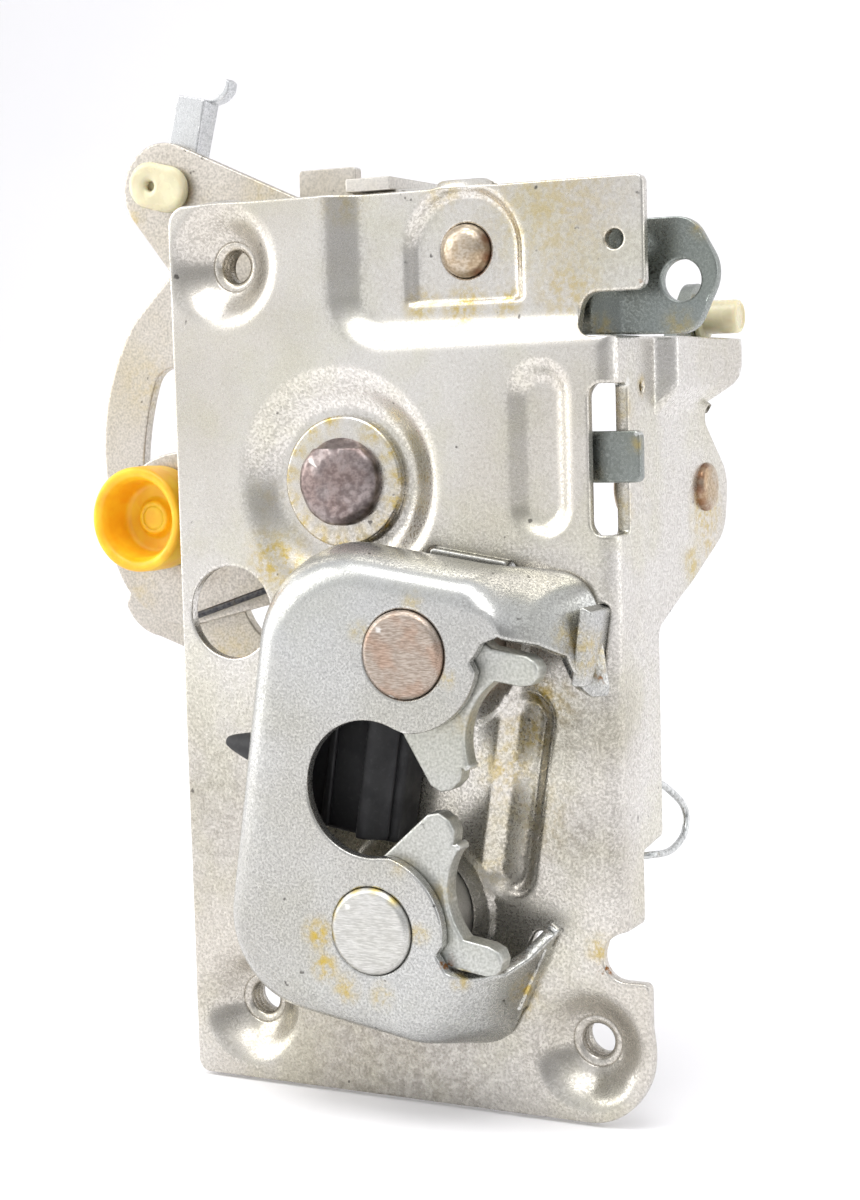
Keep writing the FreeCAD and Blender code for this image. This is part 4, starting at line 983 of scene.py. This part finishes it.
def make_claw(name, node, body, sense, material_marks):
    """Two-fingered claw: sense -1 is the upper claw, +1 the lower."""
    pivot = (0, -sense * CLAW_OFFSET)

    def at(x, z):
        return (pivot[0] + x, pivot[1] + sense * z)

    corners = [
        (-1.5, 9.7, 0), (5.6, 18.4, 0), (7.3, 19.0, 0), (9.0, 18.3, 0), (10.1, 16.8, 0), (10.2, 15.0, 0),
    ]
    jaw = arc((20.6, 9.6), 10.6, 149, 229, 0.5)
    tip = [(17.6, 1.6, 0), (19.2, 1.1, 0), (20.0, -0.2, 0), (19.9, -1.5, 0), (19.2, -2.4, 0),
        (17.9, -2.9, 0), (12.4, -3.1, 0), (8.2, -5.4, 0)]
    back = arc((0, 0), 9.75, -36, -261, 0.6)
    line = np.vstack([[c[:2] for c in corners], jaw, [c[:2] for c in tip], back])
    line = divided(np.array([at(x, z) for x, z in line]), 0.6)
    if area(line) < 0:
        line = line[::-1]
    plate = sheet(line, [circle(pivot, 6.5, 0.4)], flat_front(-12.8), 3.5, 0.45)
    piece(name, plate, CLAW_ZINC, body, [node], material_marks, lean=True)


def make_spindle(name, node, body, sense, material, marks):
    """Shouldered spindle with a worn chamfered end, its hub disc and rear shank."""
    centre = (0, -sense * CLAW_OFFSET)
    profile = [(0, -15.75), (4.6, -15.8), (5.75, -15.85), (6.42, -15.2), (6.44, -13.2), (6.44, -9.3),
        (8.95, -9.3),
               (9.25, -9.0), (9.3, 1.6), (9.0, 1.9), (5.0, 1.9), (5.0, 9.9), (4.4, 10.4), (0, 10.4)]
    head = lathe(softened(profile, 0.35), centre, segments=96)
    piece(name, head, material, body, [node], marks, lean=True)


def make_studs():
    """Peened main stud with its flat, its washer, and the domed top pin."""
    flat = 5.1
    profile = softened([(0, -1.45), (3.2, -1.3), (5.6, -0.85), (6.5, -0.2), (6.7, 0.6), (6.7, 1.4)], 0.6)
    verts, faces = lathe(profile + [(5.0, 1.4), (5.0, 25.4), (0, 25.4)], MAIN_STUD, segments=120)
    rng = np.random.default_rng(4)
    lobes = rng.uniform(0, 2 * math.pi, 3)
    offset = verts - np.array([MAIN_STUD[0], 0, MAIN_STUD[1]])
    angle = np.arctan2(offset[:, 2], offset[:, 0])
    head = verts[:, 1] < 1.39
    ragged = 1 + head * (0.010 * np.sin(5 * angle + lobes[0]) + 0.006 * np.sin(11 * angle + lobes[1]))
    verts[:, 0] = MAIN_STUD[0] + offset[:, 0] * ragged
    verts[:, 2] = MAIN_STUD[1] + offset[:, 2] * ragged
    ring = np.hypot(offset[:, 0], offset[:, 2])
    verts[:, 1] += head * 0.06 * np.sin(ring * 2.4 + angle) * (ring < 5.6)
    verts[:, 2] = np.where(head, np.minimum(verts[:, 2], MAIN_STUD[1] + flat), verts[:, 2])
    rim = [((MAIN_STUD[0] + 6.7 * math.cos(a), 0.6, MAIN_STUD[1] + 6.7 * math.sin(a)), 1.5, GRIME_AND_PAINTED_SHADE, 0.9)
           for a in (-1.9, -1.3, -0.6, -0.2, 0.3, 3.0, 3.5)]
    piece("peened_main_stud", (verts, faces), STUD_STEEL, "frame", ["main_pivot_stud"], rim)
    washer = softened([(6.2, 1.38), (9.6, 1.38), (10.0, 1.75), (10.0, 2.96), (6.2, 2.96)], 0.2)
    ring_marks = [((MAIN_STUD[0] + 10 * math.cos(a), 1.5, MAIN_STUD[1] + 10 * math.sin(a)), 2.6, YELLOW, 0.95)
                  for a in np.radians(np.arange(100, 420, 24))]
    ring_marks += [((33.0, 1.4, 101.0), 3.0, YELLOW, 0.8), ((26.0, 1.4, 102.0), 1.6, RUST, 0.5)]
    piece("main_stud_face_washer", lathe(washer + [washer[0]], MAIN_STUD, segments=110), PLATE_ZINC, "frame",
          ["main_stud_washer"], ring_marks)
    dome = [(0, 2.35), (1.4, 2.42), (2.6, 2.75), (3.4, 3.35), (3.85, 4.1), (4.0, 5.0), (4.0, 24.0),
        (3.6, 24.4), (0, 24.4)]
    rim = [((TOP_PIN[0] + 4 * math.cos(a), 4.2, TOP_PIN[1] + 4 * math.sin(a)), 1.8, RUST, 0.9)
        for a in (-1.0, -0.3, 0.4)]
    piece("domed_top_pin", lathe(softened(dome, 0.3), TOP_PIN, segments=72), PIN_STEEL, "frame",
          ["top_pivot_pin"], rim)
    rivet = [(0, 75.35), (2.6, 75.3), (3.5, 75.0), (3.8, 74.4), (3.8, 73.5), (3.0, 73.45), (3.0, 61.1),
        (4.5, 61.0), (4.4, 60.3), (0, 60.3)]
    rim = [((74.2, SIDE_RIVET[0] + 3.8 * math.cos(a), SIDE_RIVET[1] + 3.8 * math.sin(a)), 2.2, RUST, 0.8)
           for a in (2.0, 2.6, 3.2, 3.8, 4.4)]
    piece("side_pivot_rivet", lathe(softened(rivet, 0.3), SIDE_RIVET, "x", 64), PIN_STEEL, "frame",
          ["side_rivet"], rim)


def make_roller():
    """Amber cup roller with a rounded lip, a tapered bore and the boss in its floor."""
    profile = [(1.9, 13.3), (8.1, 13.3), (8.5, 12.9), (8.6, 9.0), (8.5, 5.9), (8.15, 5.45), (7.6, 5.4),
        (6.9, 5.7),
               (6.35, 7.0), (5.9, 11.2), (5.3, 11.75), (3.4, 11.8), (3.0, 11.4), (2.7, 10.6), (1.9, 10.5)]
    cup = lathe(softened(profile, 0.35) + [(1.9, 12.0)], ROLLER, segments=96, closed=True)
    piece("amber_cup_roller", cup, AMBER, "roller", ["handle_roller"])
    rivet = [(0, 10.45), (1.6, 10.5), (2.3, 10.8), (2.7, 11.3), (1.7, 11.5), (1.7, 13.7), (2.2, 13.75),
        (2.2, 15.9), (0, 15.9)]
    piece("roller_pivot_rivet", lathe(softened(rivet, 0.25), ROLLER, segments=48), AMBER, "outer_handle",
          ["roller_rivet"])


def make_buffer():
    """Rubber buffer: a block with a hollowed face, a tall ridge and a pointed nub."""
    block = sheet(rounded([(-19.0, -9.6, 2), (-1.6, -9.6, 1.2), (-1.6, 9.6, 1.2), (-19.0, 9.6, 2)]), (),
        flat_front(-6.4), 6.3, 0.7)

    def ridge_front(p):
        crown = smooth((p[:, 0] + 8.8) / 1.6) * (1 - 0.55 * smooth((p[:, 0] + 6.4) / 3.0))
        return np.column_stack([p[:, 0], -5.6 - 3.5 * crown, p[:, 1]])

    ridge = sheet(rectangle((-8.8, -9.3), (-3.0, 9.3), 0.8, 0.4), (), ridge_front, 1.0, 0.3, 0.5)
    rib = sheet(rectangle((-14.6, -9.3), (-13.2, 9.3), 0.4, 0.5), (), flat_front(-7.1), 2.0, 0.4)
    profile = [(0, 32.4), (0.7, 32.3), (1.3, 31.0), (2.1, 28.4), (2.45, 26.6), (2.45, 24.6), (2.1, 24.2),
        (2.1, 17.0), (0, 17.0)]
    verts, faces = lathe(softened(profile, 0.35), (-6.5, 0.0), "x", 48)
    verts[:, 0] *= -1
    nub = (verts, [f[::-1] for f in faces])
    piece("moulded_rubber_buffer", joined(block, ridge, rib, nub), BLACK_RUBBER, "frame",
        ["rubber_buffer"], lean=True)


# ------------------------------------------------------------------ levers

def lever(name, node, body, material, outline, holes, level, marks=None, lift=None, spacing=None, edge=EDGE,
        features=()):
    shape = sheet(outline, holes, lift or flat_front(level), SHEET, edge, spacing, features)
    piece(name, shape, material, body, [node], marks)


def joggled(front, back, start, end):
    """Lift of a lever whose outer part is set back through a soft double bend."""
    def place(points):
        depth = front + (back - front) * smooth((points[:, 0] - start) / (end - start))
        return np.column_stack([points[:, 0], depth, points[:, 1]])

    return place


def make_levers():
    release = rounded([
        (38.6, 134.6, 7), (38.6, 112.8, 5), (44.0, 112.8, 3), (57.0, 114.7, 8), (66.6, 114.9, 3),
        (76.0, 114.7, 8),
        (82.4, 114.6, 3.6), (86.6, 123.4, 6), (82.2, 131.3, 4.4), (66.6, 131.3, 1), (58.0, 134.6, 6),
    ])
    release_marks = [((84.0, 10, 130.0), 3.0, YELLOW, 0.6), ((80.0, 10, 116.0), 3.5, YELLOW, 0.4),
        ((69.0, 8, 116.0), 3.0, YELLOW, 0.5)]
    lever("inner_release_lever_plate", "inner_release_lever", "inner_release", DARK_ZINC, release,
          [circle((80.4, 122.2), 3.0, 0.35), circle(TOP_PIN, 4.06, 0.4)], 7.4, release_marks,
          joggled(7.4, 10.0, 67.3, 71.4), 0.8)
    tab = rounded([
        (28.8, 84.8, 6), (62.0, 93.6, 2), (76.2, 93.6, 0.9), (76.2, 101.0, 0.9), (62.0, 101.0, 2),
        (28.8, 103.6, 6),
        (19.4, 98.0, 6), (19.4, 90.0, 6),
    ])
    lever("lock_tab_lever_plate", "lock_tab_lever", "lock_tab", DARK_ZINC, tab,
        [circle(MAIN_STUD, STUD_BORE, 0.4)], 5.4,
          [((68.5, 4, 95.0), 2.5, YELLOW, 0.4), ((76, 3, 99.0), 2.0, YELLOW, 0.5)],
          joggled(5.4, 3.4, 66.4, 69.0), 0.8)
    handle = hull([(*MAIN_STUD, 10.5), (-8.4, 84.6, 14.2), (27.0, 88.0, 9.0)])
    lever("outer_handle_lever_plate", "outer_handle_lever", "outer_handle", LEVER_ZINC, handle,
          [circle(MAIN_STUD, STUD_BORE, 0.4), circle(ROLLER, 2.2, 0.3)], 13.7,
          [((-16, 13.7, 76), 5.0, YELLOW, 0.5), ((-18, 13.7, 94), 5.0, YELLOW, 0.4)])
    link = np.vstack([
        [(22.0, 104.0), (-3.0, 129.6)], arc((-6.2, 126.0), 4.8, 50, 165), arc((13.0, 98.5), 37.9, 145, 211),
        arc((-14.2, 76.0), 8.0, 200, 262), [(3.6, 61.4)], arc((6.4, 66.0), 3.6, 250, 380),
        arc((10.4, 76.0), 9.3, 236, 140),
        [(12.0, 83.6), (22.0, 85.8)], arc((28.8, 94.2), 10.4, 232, 488),
    ])
    link = divided(link if area(link) > 0 else link[::-1], 0.6)
    lever("slotted_lock_link", "slotted_lock_lever", "lock_link", LEVER_ZINC, link,
          [circle(MAIN_STUD, STUD_BORE, 0.4), arc_slot(MAIN_STUD, 41.7, 4.2, 160.0, 208.0)], 16.0,
          [((-16, 16, 110), 8.0, YELLOW, 0.35), ((-22, 16, 92), 5.0, YELLOW, 0.35),
              ((-2, 16, 63), 5.0, YELLOW, 0.5)])
    arm = hull([(*MAIN_STUD, 11), (31.0, 124.0, 6), (-12.9, 141.9, 7.7)])
    lever("lock_arm_plate", "lock_arm", "lock_arm_assembly", LEVER_ZINC, arm,
          [circle(MAIN_STUD, STUD_BORE, 0.4), slot((-14.6, 142.6), (-10.6, 141.6), 2.0, 0.3)], 18.3,
          [((-8, 18.3, 136), 6.0, YELLOW, 0.3), ((6, 18.3, 139), 5.0, YELLOW, 0.35),
              ((-18, 18.3, 138), 3.0, YELLOW, 0.5)])


def make_clips():
    """Plastic rod clip, sheet spring clip behind it, and the cream rod pin."""
    head_line = slot((-14.7, 142.7), (-11.2, 141.8), 3.8, 0.3)
    head = sheet(head_line, [circle((-14.4, 142.5), 0.8, 0.15)], flat_front(16.3), 2.0, 0.9)
    stem = sheet(slot((-14.6, 142.6), (-10.6, 141.6), 1.9, 0.3), (), flat_front(18.2), 3.6, 0.5)
    pit = [((-14.4, 16.5, 142.5), 1.3, RUST, 1.0)]
    piece("snap_rod_clip", joined(head, stem), CREAM, "lock_arm_assembly", ["rod_clip"], pit)
    strip = sheet(rounded([(-13.8, 146.0, 0.5), (-8.0, 144.8, 0.5), (-5.4, 156.2, 0.6), (-10.7, 157.4, 0.6)],
        0.4), (), flat_front(20.4), 0.9, 0.2)
    wall = sheet(rounded([(-8.7, 147.4, 0.3), (-7.7, 147.2, 0.3), (-5.3, 156.1, 0.3), (-6.3, 156.4, 0.3)],
        0.3), (), flat_front(20.6), 4.2, 0.15)
    curl_line = spline([(-6.2, 155.9), (-4.2, 156.4), (-2.7, 157.6), (-2.2, 159.2)], 8)
    outer = np.vstack([curl_line + [0.45, -0.35], curl_line[::-1] - [0.45, -0.35]])
    outer = outer if area(outer) > 0 else outer[::-1]
    curl = sheet(divided(outer, 0.3), (), flat_front(22.4), 2.5, 0.15)
    piece("sheet_spring_clip", joined(strip, wall, curl), SPRING_STRIP, "lock_arm_assembly",
        ["rod_spring_clip"])
    pin = [(0, 78.0), (2.1, 77.95), (2.5, 77.7), (2.65, 77.2), (2.65, 72.3), (3.8, 72.1), (3.85, 71.3),
        (0, 71.2)]
    hollow = [(0, 77.55), (1.75, 77.6), (2.0, 77.95)] + pin[2:]
    piece("cream_rod_pin", lathe(softened(hollow, 0.15), ROD_PIN, "x", 56), CREAM, "side_arm",
        ["rod_pin_bush"])


def make_springs():
    """Wound springs: on the main stud, on both claw spindles and on the side rivet."""
    toe = (-6.5, 71.6)
    heel = 288.2
    first = (MAIN_STUD[0] + 10.4 * math.cos(math.radians(heel)),
        MAIN_STUD[1] + 10.4 * math.sin(math.radians(heel)))
    path = coil(MAIN_STUD, 11.0, 13.3, 10.4, 0.55, start=heel,
        legs=([(toe[0], 11.6, toe[1]), (first[0] - 3, 11.6, first[1] - 1)], ()))
    piece("stud_torsion_spring", tube(path, 0.55, 14), DARK_WIRE, "frame", ["stud_spring"])
    for side, pivot in (("upper", UPPER_PIVOT), ("lower", LOWER_PIVOT)):
        leg = [(pivot[0] - 6.6, 3.0, pivot[1] - 11), (pivot[0] - 6.6, 3.0, pivot[1] - 1.5)]
        path = coil(pivot, 2.4, 7.2, 6.6, 0.6, start=180, legs=(leg, ()))
        piece(side + "_torsion_spring", tube(path, 0.6, 12), SPRING_WIRE, "frame",
            [side + "_claw_spring"])
    wall = 70.3
    hook = spline([
        (65.2, 36.0, 87.2), (65.3, 30.0, 85.0), (66.5, 22.0, 72.0), (wall - 1, 16.6, 58.0),
        (wall, 17.0, 49.6), (wall + 1.8, 22.0, 46.4),
        (wall + 3.3, 26.0, 42.6), (wall + 3.8, 24.6, 39.0), (wall + 3.8, 18.6, 37.4),
        (wall + 2.9, 12.6, 37.8), (wall - 0.2, 11.3, 37.6),
    ], 8)
    path = coil(SIDE_RIVET, 61.5, 65.4, 4.3, 0.55, "x", 0)
    piece("side_hook_spring", joined(tube(hook, 0.55, 16), tube(path, 0.55, 12)), SPRING_WIRE, "frame",
        ["side_lever_spring"])


# ------------------------------------------------------------------ carried-over parts

def finish_cad(node, material, width=0.25):
    """Procedural finish and softened edges on a CAD node that stays."""
    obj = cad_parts[node]
    obj.data.materials.clear()
    obj.data.materials.append(material)
    weld = obj.modifiers.new("weld", "WELD")
    weld.merge_threshold = 0.000002
    merge = obj.modifiers.new("merge_flat_faces", "DECIMATE")
    merge.decimate_type = "DISSOLVE"
    merge.angle_limit = math.radians(0.5)
    bevel = obj.modifiers.new("bevel", "BEVEL")
    bevel.width = width * MM
    bevel.segments = 2
    bevel.limit_method = "ANGLE"
    bevel.angle_limit = math.radians(40)
    bevel.use_clamp_overlap = True
    normals = obj.modifiers.new("normals", "WEIGHTED_NORMAL")
    normals.weight = 100
    normals.keep_sharp = False


SPRING_STRIP = zinc("spring_strip_steel", (0.66, 0.67, 0.68), (0.42, 0.43, 0.44), (0.95, 0.95, 0.9),
    rough=(0.22, 0.4))

make_face_plate()
make_claw_cover()

make_claw("upper_claw_plate", "upper_claw", "upper_rotor", -1, [
    mouth_mark(11, -12, 12, 3.0, YELLOW, 0.6), mouth_mark(14, -10, 17.5, 3.0, YELLOW, 0.5),
    mouth_mark(19, -11, 20.8, 2.0, YELLOW, 0.6),
])
make_claw("lower_claw_plate", "lower_claw", "lower_rotor", 1, [
    mouth_mark(9, -12, -13, 3.0, YELLOW, 0.7), mouth_mark(8.6, -12, -19, 3.4, YELLOW, 0.7),
    mouth_mark(12.0, -12.8, -23.4, 2.6, RUST, 0.95),
    mouth_mark(9.4, -12.8, -17.4, 2.4, YELLOW, 0.8),
])
rim_marks = [mouth_mark(6.4 * math.cos(a), -15, -20.5 + 6.4 * math.sin(a), 1.5, YELLOW, 0.9)
    for a in np.radians([60, 90, 120, 150, 170, 200])]
make_spindle("upper_spindle_turned", "upper_claw_spindle", "upper_rotor", -1, UPPER_END, None)
make_spindle("lower_spindle_turned", "lower_claw_spindle", "lower_rotor", 1, LOWER_END, rim_marks)
make_studs()
make_roller()
make_buffer()
make_levers()
make_clips()
make_springs()
for node, material in (
    ("rear_bracket", LEVER_ZINC), ("spring_spool", CREAM), ("release_lever_spacer", LEVER_ZINC),
    ("main_stud_ring", DARK_ZINC), ("top_pin_ring", DARK_ZINC), ("upper_ratchet", CLAW_ZINC),
    ("lower_ratchet", CLAW_ZINC), ("pawl", LEVER_ZINC), ("side_lever", DARK_ZINC),
):
    finish_cad(node, material)


# ------------------------------------------------------------------ stage, lights and camera

FLOOR_GAP = 0.0005


def make_stage():
    """Pale floor that turns up into a backdrop."""
    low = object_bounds()[0]
    floor = low[2] - FLOOR_GAP
    profile = [(-1.6, floor)] + [(y, floor) for y in np.linspace(-1.2, 0.5, 6)]
    profile += [(0.5 + 0.6 * math.sin(a), floor + 0.6 * (1 - math.cos(a)))
        for a in np.radians(np.arange(10, 91, 10))]
    profile += [(1.1, floor + 2.6)]
    verts = [(x, y, z) for x in (-2.6, 2.6) for y, z in profile]
    count = len(profile)
    data = bpy.data.meshes.new("backdrop")
    data.from_pydata(verts, [], [(i, i + 1, count + i + 1, count + i) for i in range(count - 1)])
    data.polygons.foreach_set("use_smooth", [True] * len(data.polygons))
    g = Graph("backdrop_paper")
    g.colour(g.mix(g.span(g.noise(3.0, 2.0), 0.3, 0.7), (0.86, 0.85, 0.86), (0.88, 0.87, 0.875)))
    g.set(Roughness=0.9, Specular_IOR_Level=0.1, Emission_Strength=0.07)
    data.materials.append(g.material)
    obj = bpy.data.objects.new("backdrop", data)
    bpy.context.scene.collection.objects.link(obj)


def softbox(name, place, aim, width, height, power, tint=(1, 1, 1)):
    light = bpy.data.lights.new(name, "AREA")
    light.shape = "RECTANGLE"
    light.size, light.size_y = width, height
    light.energy = power
    light.color = tint
    obj = bpy.data.objects.new(name, light)
    obj.location = place
    obj.rotation_euler = (Vector(aim) - Vector(place)).to_track_quat("-Z", "Y").to_euler()
    bpy.context.scene.collection.objects.link(obj)


def make_lights():
    """Soft boxes at the left, above and behind, in a pale room that is darker at the right front."""
    centre = (0.0, 0.0, 0.02)
    softbox("key_left", (-0.66, -0.42, 0.42), centre, 0.5, 0.7, 2.8, (1.0, 0.985, 0.96))
    softbox("side_left", (-0.8, -0.06, 0.06), centre, 0.55, 0.8, 2.6, (1.0, 0.99, 0.97))
    softbox("top", (0.0, -0.3, 0.8), centre, 0.7, 0.4, 3.6)
    softbox("fill_right_back", (0.75, 0.45, 0.25), centre, 0.6, 0.8, 1.6, (0.97, 0.985, 1.0))
    world = bpy.data.worlds.new("studio")
    bpy.context.scene.world = world
    world.use_nodes = True
    tree = world.node_tree
    background = tree.nodes["Background"]
    background.inputs["Color"].default_value = (0.96, 0.97, 1.0, 1.0)
    direction = tree.nodes.new("ShaderNodeTexCoord").outputs["Generated"]
    facing = tree.nodes.new("ShaderNodeVectorMath")
    facing.operation = "DOT_PRODUCT"
    facing.inputs[1].default_value = Vector((0.66, -0.75, 0.0)).normalized()
    tree.links.new(direction, facing.inputs[0])
    shade = tree.nodes.new("ShaderNodeMapRange")
    shade.interpolation_type = "SMOOTHSTEP"
    for key, number in zip(("From Min", "From Max", "To Min", "To Max"), (0.70, 0.98, 1.0, 0.45)):
        shade.inputs[key].default_value = number
    tree.links.new(facing.outputs["Value"], shade.inputs["Value"])
    tree.links.new(shade.outputs["Result"], background.inputs["Strength"])


def make_camera():
    """Camera a little above the latch and to its right, turned as the photograph is."""
    place = Vector((0.1484, -0.2844, 0.0550))
    target = Vector((0.00348, 0.0, 0.02611))
    roll = math.radians(-1.56)
    ahead = (target - place).normalized()
    right = ahead.cross(Vector((0, 0, 1))).normalized()
    up = right.cross(ahead)
    across = right * math.cos(roll) + up * math.sin(roll)
    upward = up * math.cos(roll) - right * math.sin(roll)
    data = bpy.data.cameras.new("camera")
    data.lens = 64.85
    data.sensor_width = 36.0
    data.clip_start = 0.01
    obj = bpy.data.objects.new("camera", data)
    turn = Matrix((across, upward, -ahead)).transposed()
    obj.matrix_world = Matrix.Translation(place) @ turn.to_4x4()
    bpy.context.scene.collection.objects.link(obj)
    bpy.context.scene.camera = obj


make_stage()
make_lights()
make_camera()
bpy.context.scene.view_settings.view_transform = "Standard"
